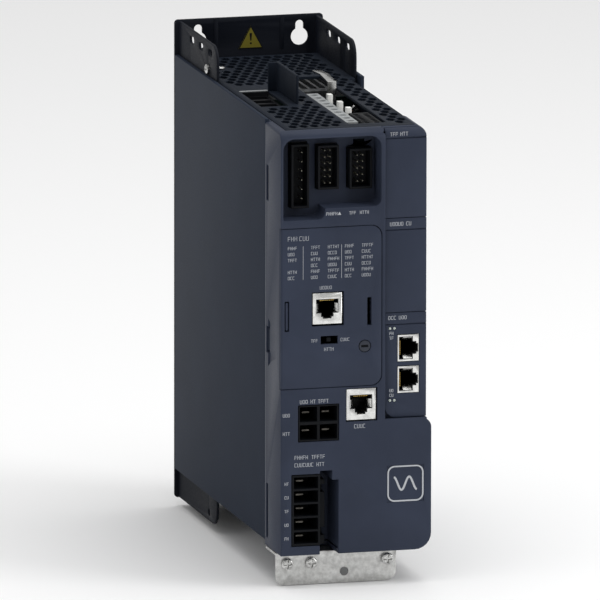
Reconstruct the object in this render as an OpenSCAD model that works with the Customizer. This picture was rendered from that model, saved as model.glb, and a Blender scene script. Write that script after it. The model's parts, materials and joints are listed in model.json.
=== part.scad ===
// Book-size servo drive: a narrow wall-mounted case on a sheet-metal bracket.
// X runs across the width, Y = 0 is the wall face with the front at -Y, and Z is up.

/* [Overall] */
// Width of the case and of the back plate
drive_w = 85; // [85:1:110]
// Height of the back plate
plate_h = 270; // [270:1:340]
// Depth from the wall to the front face
drive_d = 232.5; // [225:0.5:290]
// Drop from the top of the back plate to the top deck
deck_drop = 21; // [18:0.5:30]
// Rise from the foot of the back plate to the foot of the case
foot_rise = 14; // [12:0.5:20]

/* [Sheet metal bracket] */
// Thickness of the bracket's sheet
sheet_t = 1.5; // [1:0.1:2]
// How far each flange stands in from the edge of the plate
flange_inset = 2.7; // [2.7:0.1:4]
// Depth of the flanges from the wall
flange_depth = 84; // [80:0.5:95]
// Distance between the two keyholes
keyhole_spacing = 58; // [54:0.5:66]
// Radius of a keyhole's head opening
keyhole_r = 4.9; // [4.2:0.1:6]
// Half width of a keyhole's neck
keyhole_neck_r = 2.3; // [2:0.1:3.2]
// Height of the keyhole centres below the top of the plate
keyhole_drop = 12.5; // [11:0.1:14]
// Distance between the flange slots
flange_slot_pitch = 20; // [16:0.5:24]
// Length of a flange slot
flange_slot_len = 9; // [6:0.5:12]
// Height of a flange slot
flange_slot_h = 4; // [3:0.1:5]

/* [Case] */
// Wall thickness of the mouldings
wall_t = 2.4; // [2:0.1:3]
// Gap left between separate mouldings
part_gap = 0.3; // [0.2:0.05:0.5]
// Depth of the front moulding
front_shell_d = 34; // [30:0.5:40]
// Thickness of the vented top deck
deck_t = 1.5; // [1.2:0.1:1.8]
// Width of a vent hole
vent_w = 4.4; // [2.5:0.1:4.6]
// Length of a vent hole
vent_l = 8.8; // [6:0.1:9.5]
// Pitch of the vent holes across the deck
vent_pitch_x = 6; // [5:0.1:8]
// Pitch of the vent rows along the deck
vent_pitch_y = 15; // [15:0.1:18]

/* [Control cover] */
// Width of the hinged control cover
cover_w = 56.7; // [50:0.1:58]
// Height of the hinged control cover
cover_h = 88.6; // [85:0.1:100]
// Thickness of the control cover
cover_t = 2.4; // [2:0.1:2.8]
// Radius of the cover's hinge pins
hinge_pin_r = 0.7; // [0.5:0.05:0.8]
// Radial clearance of the turning pins and shafts
pin_clear = 0.05; // [0.02:0.01:0.1]
// Radius of the cover lock screw's head
lock_head_r = 3.1; // [2.5:0.1:3.5]

/* [Connectors] */
// Width of an eight-pole jack
jack_w = 16.4; // [15:0.1:17]
// Height of an eight-pole jack
jack_h = 17.2; // [16:0.1:18]
// Depth of the front jacks
jack_d = 22.2; // [20:0.1:24]
// Thickness of a jack's metal shell
jack_shell_t = 0.5; // [0.3:0.1:0.8]
// Poles of the motor header
motor_poles = 5; // [4:1:5]
// Pitch of the motor header's poles
motor_pitch = 7.62; // [7:0.01:8]
// Wall between the cavities of a header
header_web = 1.1; // [0.8:0.1:1.4]

/* [Fan] */
// Side of the square fan
fan_side = 70; // [60:1:72]
// Height of the fan
fan_h = 15; // [12:1:20]
// Blades of the fan rotor
fan_blades = 7; // [5:1:9]

/* [Hidden] */
$fn = 48;
eps = 0.01;

left = -drive_w / 2;
right = drive_w / 2;
plate_top = plate_h / 2;
plate_foot = -plate_h / 2;
deck = plate_top - deck_drop;
foot = plate_foot + foot_rise;
front = -drive_d;
shell_back = front + front_shell_d;

// Bracket
flange_out = drive_w / 2 - flange_inset;
flange_in = flange_out - sheet_t;
plate_corner_r = 2;
flange_top = plate_top - 1;
flange_corner_r = 9;
slot_y0 = -29;
slot_z = plate_top - 6.5;
tab_hole_y = -67;
tab_hole_z = plate_foot + 5;
tab_hole_r = 2;
foot_hole_r = 2.4;
foot_hole_rise = 8;
earth_y = -65.5;
earth_z = plate_top - 16.1;
earth_shank_r = 2;
label_t = 0.3;
label_w = 14;
label_h = 13;
label_x = 1;
label_drop = 18;

// Cooling
sink_gap = 1.5;
sink_base_t = 8;
sink_front = -flange_depth + 1;
sink_back = sink_front + sink_base_t;
fin_t = 1.5;
fins = 15;
fan_y = sink_front / 2 + 1;
fan_foot = foot + 3.4;
fan_top = fan_foot + fan_h;
sink_foot = fan_top + 5;
sink_head = deck - 7;
pad_t = 0.5;
module_t = 12;
board_screw_r = 1.5;
power_board_back = sink_front - pad_t - module_t;
board_t = 1.6;
power_board_front = power_board_back - board_t;

// Case
rear_split = -90;
right_step = 2.5;
shoulder_z = -48;
shoulder_r = 5;
foot_corner_r = 9;
deck_chamfer = 5;
front_round_r = 6;
column_round_r = 5;
rim_h = 1.5;
housing_foot = foot + 2.5;
deck_left = -flange_in + 0.5;
deck_right = flange_in - 0.5;
deck_narrow = deck_right - 3.5;
deck_front = front + 7;
deck_back = -8;
deck_screw_at = [deck_left + 11, -43];
ledge = 2;
front_wall_t = 2.4;
hook_t = 1.4;
hook_spans = [[foot + 5, foot + 35], [-13, 1.5], [deck - 42.5, deck - 23]];

// Top connectors
mains_x = [left + 7.5, left + 24.5];
mains_y = [-156, -112];
mains_poles = 4;
mains_top = deck - 2.6;
mains_rail = 1.2;
divider_h = 16;
divider_t = 1.5;
divider_right = left + 31;
top_open_x = [0, 21];
top_open_y = [front + 16.5, -76];
top_board_z = deck - 17.6;
clip_x = [15.8, 20.6];
clip_y = [-112, -79];

// Option column
column_left = right - 25.8;
column_right = right - right_step;
column_front = front + 2;
column_t = 2.5;
column_foot = shoulder_z + 0.8;
column_split = [deck - 50.6, 11];

// Control cover
knuckle_r = cover_t / 2;
hinge_x = left + knuckle_r;
hinge_y = front + knuckle_r;
cover_z = [-28.2, -28.2 + cover_h];
cover_corner_r = 6;
recess_d = cover_t + 0.2;
lock_x = left + 47.3;
lock_z = -6.3;
lock_shank_r = 1.5;
lock_gap = 0.4;
lock_slot = [4, 1.3];
switch_x = left + 27.3;
switch_z = -1.95;
switch_window = [9.6, 4.5];
switch_travel = 3.2;
knob_w = 2.4;
clip_slots = [[left + 2.2, left + 4.6, 3.7, 20.4], [left + 48.7, left + 51, 5.2, 20.7]];

// Front connectors
board_front = front + jack_d + 0.3;
board_back = board_front + board_t;
link_span = [right - 12.5, right - 7, 30, 60];
hmi_x = left + 26.2;
hmi_z = 15.6;
jack_slack = 0.6;
modbus_x = left + 45.3;
modbus_z = -38.5;
eth_x = column_left + 13.1;
eth_z = [-26.4, -8.9];
eth_w = 14.7;
eth_h = 11.9;
eth_board_front = column_front + jack_d;
pocket_x = [left + 1.4, left + 56.4];
pocket_z = [deck - 43, deck - 4.1];
pocket_step = [left + 24.8, deck - 49];
pocket_d = 15;
pocket_wall = 1.2;
io_front = front + 9;
io_cavity_d = 9.5;
io_wall = 1.2;
io_left = [left + 8.2, left + 18.2, deck - 44, deck - 8.6];
io_middle = [left + 23.2, left + 35, deck - 34.3, deck - 9.9];
io_right = [left + 41, left + 53.8, deck - 34.7, deck - 12.5];
pin_side = 0.7;
pin_pitch = 3.6;
wide_pin_pitch = 5.08;
dc_x = [left + 10.1, left + 32.6];
dc_z = [-57.8, -37.8];
dc_back = front + 42;
motor_x = [left + 6.4, left + 22.4];
motor_z = [foot + 5.2, foot + 44.7];
motor_back = front + 42;
motor_cavity_d = 22;
well_x = [left + 22.7, left + 32.6];
well_top = foot + 41.2;
well_d = 23;
well_step = [left + 29, 5.3];
badge_x = [right - 24.8, right - 4.4];
badge_z = [foot + 27.2, foot + 47.2];
badge_t = 0.4;
badge_line = 0.8;
leds = [[column_left + 2.8, 2.3], [column_left + 5.3, 2.3],
    [column_left + 2.8, -37.7], [column_left + 5.3, -37.7]];
led_r = 0.75;

// Shield plate
shield_x = [left, right - 17];
shield_y = front + 10.5;
shield_foot = foot - 18.5;
shield_hole = [left + 38.6, foot - 12.2];
shield_hole_r = 2.4;
shield_screws = [[left + 6.4, foot - 6.5], [left + 20.1, foot - 6.5], [right - 22.1, foot - 6.3]];
shield_leaf_back = shell_back - 2;

// Points of a quarter circle round (x, z), starting at angle a
function quarter(x, z, r, a) = [for (i = [0:6]) [x + r * cos(a + 15 * i), z + r * sin(a + 15 * i)]];

// Outline of a rectangle whose corners have the radii r, from the lower left corner anticlockwise
function rounded(x0, z0, x1, z1, r) = concat(
    quarter(x0 + r[0], z0 + r[0], r[0], 180), quarter(x1 - r[1], z0 + r[1], r[1], 270),
    quarter(x1 - r[2], z1 - r[2], r[2], 0), quarter(x0 + r[3], z1 - r[3], r[3], 90));

// A block from one corner to the opposite one
module block(a, b) {
    translate(a) cube(b - a);
}

// Stands an outline drawn in X and Z up between two depths
module upright(y_back, y_front) {
    translate([0, y_back, 0]) rotate([90, 0, 0]) linear_extrude(y_back - y_front) children();
}

// Carries an outline drawn in Y and Z from one width to another
module sideways(x0, x1) {
    translate([x0, 0, 0]) rotate([90, 0, 90]) linear_extrude(x1 - x0) children();
}

// What is cut away to round a top edge of radius r, whose front is at y and whose top is at z
module top_round(x0, x1, y, z, r) {
    sideways(x0, x1)
        polygon(concat([[y + r, z + 1]], quarter(y + r, z - r, r, 90), [[y - 1, z - r], [y - 1, z + 1]]));
}

// A round bar along Y from one depth to another
module bar_y(x, z, r, y_back, y_front) {
    translate([x, y_back, z]) rotate([90, 0, 0]) cylinder(r = r, h = y_back - y_front);
}

// A slot along Y in the Y-Z plane
module slot_outline(y, z, len, h) {
    for (s = [-1, 1]) translate([y + s * (len - h) / 2, z]) circle(h / 2);
    translate([y - (len - h) / 2, z - h / 2]) square([len - h, h]);
}

// A cross recess for a screw head, cut along +Z from the origin
module cross_recess(size, depth) {
    for (a = [0, 90]) rotate(a) translate([-size / 2, -size / 8, -depth]) cube([size, size / 4, depth + 1]);
}

// A pan-head screw along -Z from the origin: the head stands above, the shank goes below
module pan_screw(head_r, head_h, shank_r, shank_len) {
    difference() {
        union() {
            cylinder(r = head_r, h = head_h * 0.6);
            translate([0, 0, head_h * 0.6]) cylinder(r1 = head_r, r2 = head_r * 0.7, h = head_h * 0.4);
        }
        translate([0, 0, head_h]) cross_recess(head_r * 1.2, head_h * 0.6);
    }
    translate([0, 0, -shank_len]) cylinder(r = shank_r, h = shank_len + eps);
}

// ---- Bracket and cooling ----

module keyhole_outline(x) {
    translate([x, plate_top - keyhole_drop]) circle(keyhole_r);
    translate([x, plate_top - keyhole_neck_r - 3.3]) circle(keyhole_neck_r);
    translate([x - keyhole_neck_r, plate_top - keyhole_drop])
        square([2 * keyhole_neck_r, keyhole_drop - keyhole_neck_r - 3.3]);
}

module flange(side) {
    x0 = side < 0 ? -flange_out : flange_in;
    sideways(x0, x0 + sheet_t) difference() {
        polygon(rounded(-flange_depth, plate_foot, -sheet_t / 2, flange_top,
            [flange_corner_r, 0, 0, flange_corner_r]));
        for (i = [0:2]) slot_outline(slot_y0 - i * flange_slot_pitch, slot_z, flange_slot_len, flange_slot_h);
        translate([tab_hole_y, tab_hole_z]) circle(tab_hole_r);
        if (side < 0) translate([earth_y, earth_z]) circle(earth_shank_r + pin_clear);
    }
}

module mounting_bracket() {
    color([0.10, 0.12, 0.15]) {
        upright(0, -sheet_t) difference() {
            polygon(rounded(left, plate_foot, right, plate_top,
                [plate_corner_r, plate_corner_r, plate_corner_r, plate_corner_r]));
            for (s = [-1, 1]) {
                keyhole_outline(s * keyhole_spacing / 2);
                translate([s * keyhole_spacing / 2, plate_foot + foot_hole_rise]) circle(foot_hole_r);
            }
        }
        for (s = [-1, 1]) flange(s);
    }
}

module warning_label() {
    color([0.58, 0.54, 0.18]) upright(-sheet_t, -sheet_t - label_t)
        translate([label_x, plate_top - label_drop]) polygon([[-label_w / 2, 0], [label_w / 2, 0], [0,
            label_h]]);
}

module earth_screw() {
    color([0.82, 0.82, 0.80]) translate([-flange_out, earth_y, earth_z]) rotate([0, -90, 0])
        pan_screw(2.8, 2, earth_shank_r, sheet_t + 2);
}

module deck_screw() {
    color([0.82, 0.82, 0.80]) translate([deck_screw_at[0], deck_screw_at[1], deck])
        pan_screw(2.2, 1.6, 1.4, deck_t + 1);
}

module heatsink() {
    fin_pitch = (2 * flange_in - 4 - fin_t) / (fins - 1);
    color([0.72, 0.73, 0.74]) difference() {
        translate([0, 0, sink_foot]) linear_extrude(sink_head - sink_foot) {
            translate([-flange_in, sink_front]) square([2 * flange_in, sink_base_t]);
            for (i = [0:fins - 1]) translate([-flange_in + 2 + i * fin_pitch, sink_back - eps])
                square([fin_t, -sheet_t - sink_gap - sink_back]);
        }
        for (p = power_board_holes) bar_y(p[0], p[1], board_screw_r + pin_clear, sink_front + 6,
            sink_front - 1);
    }
}

module thermal_pad() {
    color([0.80, 0.80, 0.74]) block([-30, sink_front - pad_t, -50], [30, sink_front, 58]);
}

// A power semiconductor block with a raised middle and two fixing ears
module power_block(x0, x1, z0, z1) {
    back = sink_front - pad_t;
    ear = 6;
    difference() {
        union() {
            block([x0, back - 4, z0], [x1, back, z1]);
            block([x0 + ear, power_board_back, z0], [x1 - ear, back - 4 + eps, z1]);
        }
        for (x = [x0 + ear / 2, x1 - ear / 2]) bar_y(x, (z0 + z1) / 2, 1.6, back + 1, back - 5);
    }
}

module power_module() {
    color([0.12, 0.12, 0.13]) power_block(-28, 28, -45, 5);
}

module rectifier_module() {
    color([0.14, 0.14, 0.15]) power_block(-24, 24, 25, 55);
}

module power_board() {
    color([0.10, 0.32, 0.18]) difference() {
        block([-flange_in + 1, power_board_front, foot + 9], [flange_in - 1, power_board_back, deck - 8]);
        for (p = power_board_holes) bar_y(p[0], p[1], 1.7, power_board_back + 1, power_board_front - 1);
    }
}

power_board_holes = [for (x = [-1, 1], z = [sink_foot + 8, sink_head - 8]) [x * (flange_in - 3.2), z]];

module dc_capacitors() {
    can_r = 14;
    can_len = 48;
    for (x = [-18, 14], z = [14, 46]) color([0.10, 0.11, 0.16]) {
        bar_y(x, z, can_r, power_board_front, power_board_front - can_len);
        bar_y(x, z, can_r - 1.5, power_board_front - can_len + eps, power_board_front - can_len - 0.8);
    }
}

module emc_choke() {
    color([0.55, 0.30, 0.12]) translate([15, power_board_front - 5, deck - 35]) rotate([90, 0, 0])
        rotate_extrude() translate([10, 0]) circle(4.6);
    color([0.55, 0.30, 0.12]) block([3, power_board_front - 1.2, deck - 37], [8, power_board_front,
        deck - 33]);
}

module relays() {
    color([0.16, 0.20, 0.30]) for (x = [2, 20])
        block([x, power_board_front - 16, -78], [x + 14, power_board_front, -56]);
}

module current_sensors() {
    color([0.15, 0.15, 0.16]) for (i = [0:2]) {
        z = foot + 12 + 13 * i;
        block([-14, power_board_front - 13, z], [-5, power_board_front, z + 10]);
    }
}

module insulating_sheet() {
    y = power_board_front - 58;
    color([0.85, 0.83, 0.72]) upright(y, y - 0.8) difference() {
        polygon(rounded(-flange_in + 1, foot + 10, flange_in - 1, deck - 25, [2, 2, 2, 2]));
        translate([left, foot]) square([dc_x[1] + 2 - left, dc_z[1] + 2 - foot]);
        translate([link_span[0] - 2, link_span[2] - 2])
            square([link_span[1] - link_span[0] + 4, link_span[3] - link_span[2] + 4]);
    }
}

module board_link() {
    color([0.13, 0.13, 0.14]) block([link_span[0], board_back, link_span[2]],
        [link_span[1], power_board_front, link_span[3]]);
}

module control_board() {
    low_x = dc_x[1] + 2;
    high_x = right - 28;
    link_x = right - 5.5;
    color([0.08, 0.30, 0.20]) upright(board_back, board_front) difference() {
        polygon([[left + 4, -32], [low_x, -32], [low_x, -58], [high_x, -58], [high_x, 14], [link_x, 14],
            [link_x, deck - 30], [high_x, deck - 30], [high_x, deck - 7.2], [left + 4, deck - 7.2]]);
        for (p = control_board_holes) translate(p) circle(1.7);
    }
}

control_board_holes = [[left + 7.5, -26], [left + 7.5, 59], [column_left - 5.5, -20],
    [column_left - 5.5, 62]];

module board_screws() {
    color([0.75, 0.75, 0.72]) {
        for (p = power_board_holes) translate([p[0], power_board_front, p[1]]) rotate([90, 0, 0])
            pan_screw(2.2, 1.6, board_screw_r, sink_front - power_board_front + 5);
        for (p = control_board_holes) translate([p[0], board_back, p[1]]) rotate([-90, 0, 0])
            pan_screw(2.6, 1.6, board_screw_r, board_t + 6);
    }
}

// ---- Case ----

// Cross-section of the deep housing, with its right side stepped in above the shoulder
module front_section(inset, top_z, foot_z) {
    step_x = right - right_step - inset;
    chamfer = deck_chamfer - inset * 0.6;
    polygon([[left + inset, foot_z + inset], [right - inset, foot_z + inset], [right - inset,
        shoulder_z - inset],
        [step_x, shoulder_z - inset], [step_x, top_z - inset - chamfer], [step_x - chamfer, top_z - inset],
        [left + inset, top_z - inset]]);
}

// The window that the vented deck lies in, with a ledge all round, from one depth to another
module deck_window(y0, y1) {
    block([deck_left - part_gap, y0, deck - deck_t], [deck_narrow + part_gap, y1, deck + 10]);
    block([deck_left + ledge, max(y0, deck_front + ledge), deck - 2.8], [deck_narrow - ledge, y1, deck + 10]);
}

// The hooks that reach into the front moulding's side windows
module side_hooks() {
    x0 = left + wall_t + 0.1;
    for (span = hook_spans) {
        block([x0, shell_back - 9, span[0] + 1], [x0 + hook_t, shell_back + 4, span[1] - 1]);
        block([left + 1, shell_back - 6.5, span[0] + 1], [x0 + 0.1, shell_back - 3.5, span[1] - 1]);
        block([left + 1, shell_back + part_gap, span[0] + 1], [x0 + 0.1, shell_back + 4, span[1] - 1]);
    }
}

module main_housing() {
    color([0.19, 0.21, 0.25]) {
        difference() {
            union() {
                upright(-sheet_t - part_gap, rear_split) difference() {
                    translate([left, housing_foot]) square([drive_w, deck + rim_h - housing_foot]);
                    translate([left + wall_t, housing_foot + wall_t])
                        square([drive_w - 2 * wall_t, deck + 2 - housing_foot]);
                }
                upright(rear_split + eps, shell_back + part_gap) difference() {
                    union() {
                        front_section(0, deck, housing_foot);
                        translate([left, deck - 5]) square([wall_t, 5 + rim_h]);
                    }
                    front_section(wall_t, deck, housing_foot);
                }
            }
            // Window for the vented deck
            deck_window(shell_back - 1, deck_back + part_gap);
            // Slots for the bracket's flanges
            for (x = [-flange_out, flange_in]) block([x - part_gap, -flange_depth - part_gap,
                housing_foot - 1],
                [x + sheet_t + part_gap, 0, housing_foot + 10]);
            // Well for the fan
            block([-fan_side / 2 - 0.5, fan_y - fan_side / 2 - 0.5, housing_foot - 1],
                [fan_side / 2 + 0.5, fan_y + fan_side / 2 + 0.5, housing_foot + 10]);
            // Foot vents under the power board
            for (i = [0:8]) block([-32 + 8 * i, -180, housing_foot - 1], [-28 + 8 * i, -100,
                housing_foot + 10]);
        }
        side_hooks();
    }
}

// One vent: a long hexagon
module vent_outline() {
    w = vent_w / 2;
    l = vent_l / 2;
    polygon([[0, -l], [w, -l + w], [w, l - w], [0, l], [-w, l - w], [-w, -l + w]]);
}

// Whether a vent at (x, y) stays clear of the deck's edges and openings
function vent_fits(x, y) = x > deck_left + 3 && x < deck_narrow - 3 && y > deck_front + 4 && y < deck_back - 5
    && !(x < mains_x[1] + 10 && y > mains_y[0] - 7 && y < mains_y[1] + 18)
    && !(x > top_open_x[0] - 3 && x < top_open_x[1] + 3 && y > top_open_y[0] - 7 && y < top_open_y[1] + 7)
    && norm([x, y] - deck_screw_at) > vent_l / 2 + 3;

module top_grille() {
    rows = floor((deck_back - deck_front) / vent_pitch_y * 2);
    cols = floor((deck_right - deck_left) / vent_pitch_x) + 1;
    color([0.17, 0.19, 0.23]) translate([0, 0, deck - deck_t]) linear_extrude(deck_t) difference() {
        union() {
            translate([deck_left, deck_front]) square([deck_narrow - deck_left, deck_back - deck_front]);
            translate([deck_left, rear_split + 2]) square([deck_right - deck_left,
                deck_back - rear_split - 2]);
        }
        for (j = [0:rows], i = [0:cols]) {
            x = deck_left + 3 + (i + (j % 2) / 2) * vent_pitch_x;
            y = deck_back - 6 - j * vent_pitch_y / 2;
            if (vent_fits(x, y)) translate([x, y]) vent_outline();
        }
        translate([mains_x[0] + 1.5, mains_y[0]]) square([mains_x[1] - mains_x[0] - 1.5,
            mains_y[1] - mains_y[0]]);
        translate([top_open_x[0], top_open_y[0]])
            square([top_open_x[1] - top_open_x[0], top_open_y[1] - top_open_y[0]]);
        translate(deck_screw_at) circle(1.5);
    }
}

// Two thin walls behind and beside the mains recess
module cable_divider() {
    color([0.09, 0.10, 0.12]) translate([0, 0, deck]) linear_extrude(divider_h) polygon([
        [mains_x[1], mains_y[1]], [divider_right - divider_t, mains_y[1]],
        [divider_right - divider_t, mains_y[0] + 3], [divider_right, mains_y[0] + 3],
        [divider_right, mains_y[1] + divider_t], [mains_x[1], mains_y[1] + divider_t]]);
}

// Outline of the whole front: the lower part is full width, the upper part stops at the column
module shell_outline(inset) {
    polygon(rounded(left + inset, foot + inset, right - inset, shoulder_z - inset,
        [0.5, foot_corner_r - inset, shoulder_r, 0.5]));
    polygon(rounded(left + inset, foot + 20, right - right_step - inset, deck - inset,
        [0, 0, 6 - inset, 1.5]));
}

// Outline of the terminal pocket, with its lower left step
module pocket_outline(grow) {
    polygon(rounded(pocket_x[0] - grow, pocket_z[0] - grow, pocket_x[1] + grow, pocket_z[1] + grow,
        [0, 4 + grow, 6 + grow, 6 + grow]));
    polygon(rounded(pocket_x[0] - grow, pocket_step[1] - grow, pocket_step[0] + grow, pocket_z[0] + 10,
        [1, 4 + grow, 0, 0]));
}

// Outline of the control cover
module cover_outline(grow) {
    polygon(rounded(left - (grow > 0 ? 1 : 0), cover_z[0] - grow, left + cover_w + grow, cover_z[1] + grow,
        [0, cover_corner_r, cover_corner_r, 0]));
}

// The openings that reach through the cover and the wall behind it
module control_openings(grow) {
    block([hmi_x - jack_w / 2 - grow, front - 1, hmi_z - jack_h / 2 - grow - jack_slack],
        [hmi_x + jack_w / 2 + grow + jack_slack, front + 9, hmi_z + jack_h / 2 + grow]);
    block([switch_x - switch_window[0] / 2, front - 1, switch_z - switch_window[1] / 2],
        [switch_x + switch_window[0] / 2, front + 9, switch_z + switch_window[1] / 2]);
    for (s = clip_slots) block([s[0], front - 1, s[2]], [s[1], front + 9, s[3]]);
}

module front_shell() {
    color([0.22, 0.24, 0.28]) {
        difference() {
            union() {
                difference() {
                    upright(shell_back, front) shell_outline(0);
                    upright(shell_back + 1, front + front_wall_t) shell_outline(wall_t);
                    // Recess of the hinged cover
                    upright(front + recess_d, front - 1) cover_outline(part_gap);
                    // Seat of the option column
                    block([column_left - part_gap, front - 1, column_foot - part_gap],
                        [right + 1, column_front + column_t + part_gap, deck + 1]);
                }
                // Wall behind the hinged cover
                upright(front + recess_d + 1.8, front + recess_d) cover_outline(0);
                // Frame of the option column
                upright(column_front + column_t + 2.6, column_front + column_t + part_gap) polygon(
                    rounded(column_left - 1.5, column_foot - 1, column_right, deck - 1, [0, 0, 5, 0]));
                // Bosses of the control board
                difference() {
                    for (p = control_board_holes) bar_y(p[0], p[1], 3, board_front, front + front_wall_t - eps);
                    upright(front + recess_d, front - 1) cover_outline(part_gap);
                }
                // Well of the terminal pocket
                upright(front + pocket_d + pocket_wall, front + front_wall_t / 2) pocket_outline(pocket_wall);
                // Collars of the power headers
                block([motor_x[0] - 2, front + 1, motor_z[0] - 2],
                    [well_x[1] + 2, front + well_d + 2, well_top + well_step[1] + 2]);
                block([dc_x[0] - 2, front + 1, dc_z[0] - 2], [dc_x[1] + 2, front + 12, dc_z[1] + 2]);
            }
            upright(front + pocket_d, front - 1) pocket_outline(0);
            control_openings(0.6);
            // Openings of the terminal headers in the pocket floor
            for (h = [io_left, io_middle, io_right])
                block([h[0] - 0.3, front + 5, h[2] - 0.3], [h[1] + 0.3, front + 20, h[3] + 0.3]);
            block([pocket_x[1] - 11.8, front + 5, pocket_z[1] - 7.8],
                [pocket_x[1] - 5.6, front + 20, pocket_z[1] - 4.2]);
            // Openings of the jacks and the power headers
            block([modbus_x - jack_w / 2 - 0.3, front - 1, modbus_z - jack_h / 2 - 0.3 - jack_slack],
                [modbus_x + jack_w / 2 + 0.3 + jack_slack, front + 5, modbus_z + jack_h / 2 + 0.3]);
            block([dc_x[0] - 0.3, front - 1, dc_z[0] - 0.3], [dc_x[1] + 0.3, front + 20, dc_z[1] + 0.3]);
            block([motor_x[0] - 0.3, front - 1, motor_z[0] - 0.3],
                [motor_x[1] + 0.3, front + 40, motor_z[1] + 0.3]);
            block([well_x[0] - 0.5, front - 1, foot - 1], [well_x[1], front + well_d, well_top]);
            block([well_x[0] - 0.5, front - 1, foot], [well_step[0], front + well_d,
                well_top + well_step[1]]);
            // Openings of the option column
            block([column_left + 1.8, front, column_foot + 3], [column_right - wall_t - 0.3, front + 20,
                deck - 3.5]);
            // Window for the vented deck
            deck_window(deck_front - part_gap, shell_back + 1);
            // Seat of the badge
            block([badge_x[0] - 0.1, front - 1, badge_z[0] - 0.1],
                [badge_x[1] + 0.1, front + badge_t, badge_z[1] + 0.1]);
            // Bores of the cover's hinge pins
            translate([hinge_x, hinge_y, cover_z[0] - 4]) cylinder(r = hinge_pin_r + pin_clear,
                h = cover_h + 8);
            for (p = control_board_holes)
                bar_y(p[0], p[1], board_screw_r + pin_clear, board_front + 1, board_front - 6);
            // Passage of the lock screw
            bar_y(lock_x, lock_z, lock_shank_r + 0.7, front + 9, front - 1);
            // Rounded top edges of the front and of the column
            top_round(left - 1, column_left - part_gap, front, deck, front_round_r);
            top_round(column_left - 1, right + 1, column_front, deck, column_round_r);
            // Side windows over the housing's hooks, and the finger recess beside the middle one
            for (span = hook_spans)
                block([left - 1, shell_back - 7, span[0]], [left + wall_t + 0.05, shell_back - 3, span[1]]);
            sideways(left - 1, left + 0.9) polygon([[shell_back - 7, -20], [shell_back - 14, -16],
                [shell_back - 23, -13], [shell_back - 23, 0], [shell_back - 14, 3], [shell_back - 7, 6]]);
            // Passages of the shield plate's upper screws
            for (x = [-20, 15]) translate([x, shield_y + 16, foot - 1]) cylinder(r = 1.55, h = wall_t + 2);
        }
    }
}

module control_cover() {
    color([0.22, 0.24, 0.28]) {
        difference() {
            union() {
                intersection() {
                    upright(front + cover_t, front) cover_outline(0);
                    block([hinge_x, front - 1, cover_z[0]], [right, front + 9, cover_z[1]]);
                }
                translate([hinge_x, hinge_y, cover_z[0]]) cylinder(r = knuckle_r, h = cover_h);
            }
            control_openings(0.5);
            bar_y(lock_x, lock_z, lock_shank_r + pin_clear, front + 9, front - 1);
            bar_y(lock_x, lock_z, lock_head_r + lock_gap, front + 1.2, front - 1);
        }
        translate([hinge_x, hinge_y, cover_z[0] - 3]) cylinder(r = hinge_pin_r, h = cover_h + 6);
    }
}

module cover_lock_screw() {
    color([0.16, 0.17, 0.20]) difference() {
        union() {
            bar_y(lock_x, lock_z, lock_head_r, front + 1.2, front + 0.1);
            bar_y(lock_x, lock_z, lock_shank_r, front + cover_t + 2.2, front + 1);
        }
        translate([lock_x, front, lock_z]) cube([lock_slot[0], 1.8, lock_slot[1]], center = true);
    }
}

// A removable cover of the option column between two heights, with its two snap tongues
module slot_cover(z0, z1, top_r) {
    back = column_front + column_t;
    difference() {
        upright(back, column_front) polygon(rounded(column_left, z0, column_right, z1, [0, 0, top_r, 0]));
        block([column_left - 1, column_front - 1, z1 - 6.6], [column_right + 1, column_front + 0.3,
            z1 - 6.2]);
    }
    for (x = [column_left + 4, column_right - 7]) block([x, back - eps, (z0 + z1) / 2 - 4],
        [x + 1.5, back + 9, (z0 + z1) / 2 + 4]);
}

module safety_slot_cover() {
    color([0.23, 0.25, 0.29]) difference() {
        slot_cover(column_split[0] + part_gap / 2, deck, 6);
        top_round(column_left - 1, right + 1, column_front, deck, column_round_r);
    }
}

module encoder_slot_cover() {
    color([0.23, 0.25, 0.29]) slot_cover(column_split[1] + part_gap / 2, column_split[0] - part_gap / 2, 0);
}

module ethernet_module_face() {
    color([0.23, 0.25, 0.29]) difference() {
        upright(column_front + column_t, column_front) polygon(
            rounded(column_left, column_foot, column_right, column_split[1] - part_gap / 2, [6, 0, 0, 0]));
        block([column_left - 1, column_front - 1, column_split[1] - 6.8],
            [column_right + 1, column_front + 0.3, column_split[1] - 6.4]);
        for (z = eth_z) block([eth_x - eth_h / 2 - 0.3, column_front - 1, z - eth_w / 2 - 0.3],
            [eth_x + eth_h / 2 + 0.3, column_front + 9, z + eth_w / 2 + 0.3]);
        for (p = leds) bar_y(p[0], p[1], led_r + 0.1, column_front + 9, column_front - 1);
    }
}

module ethernet_board() {
    color([0.08, 0.30, 0.20]) block([column_left + 2, eth_board_front, column_foot + 4],
        [column_right - 4, eth_board_front + board_t, column_split[1] - 3]);
}

module light_pipes() {
    color([0.80, 0.86, 0.82]) for (p = leds) bar_y(p[0], p[1], led_r, eth_board_front, column_front);
}

module badge() {
    color([0.20, 0.22, 0.26]) upright(front + badge_t, front) difference() {
        polygon(rounded(badge_x[0], badge_z[0], badge_x[1], badge_z[1], [4, 4, 4, 4]));
        polygon(rounded(badge_x[0] + badge_line, badge_z[0] + badge_line, badge_x[1] - badge_line,
            badge_z[1] - badge_line, [3.2, 3.2, 3.2, 3.2]));
    }
}

// ---- Connectors ----

// A terminal header: an open box on the control board
module io_header(h) {
    difference() {
        block([h[0], io_front, h[2]], [h[1], board_front, h[3]]);
        block([h[0] + io_wall, io_front - 1, h[2] + io_wall],
            [h[1] - io_wall, io_front + io_cavity_d, h[3] - io_wall]);
    }
}

module io_header_left() {
    color([0.06, 0.06, 0.07]) io_header(io_left);
}

module io_header_middle() {
    color([0.06, 0.06, 0.07]) io_header(io_middle);
}

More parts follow.
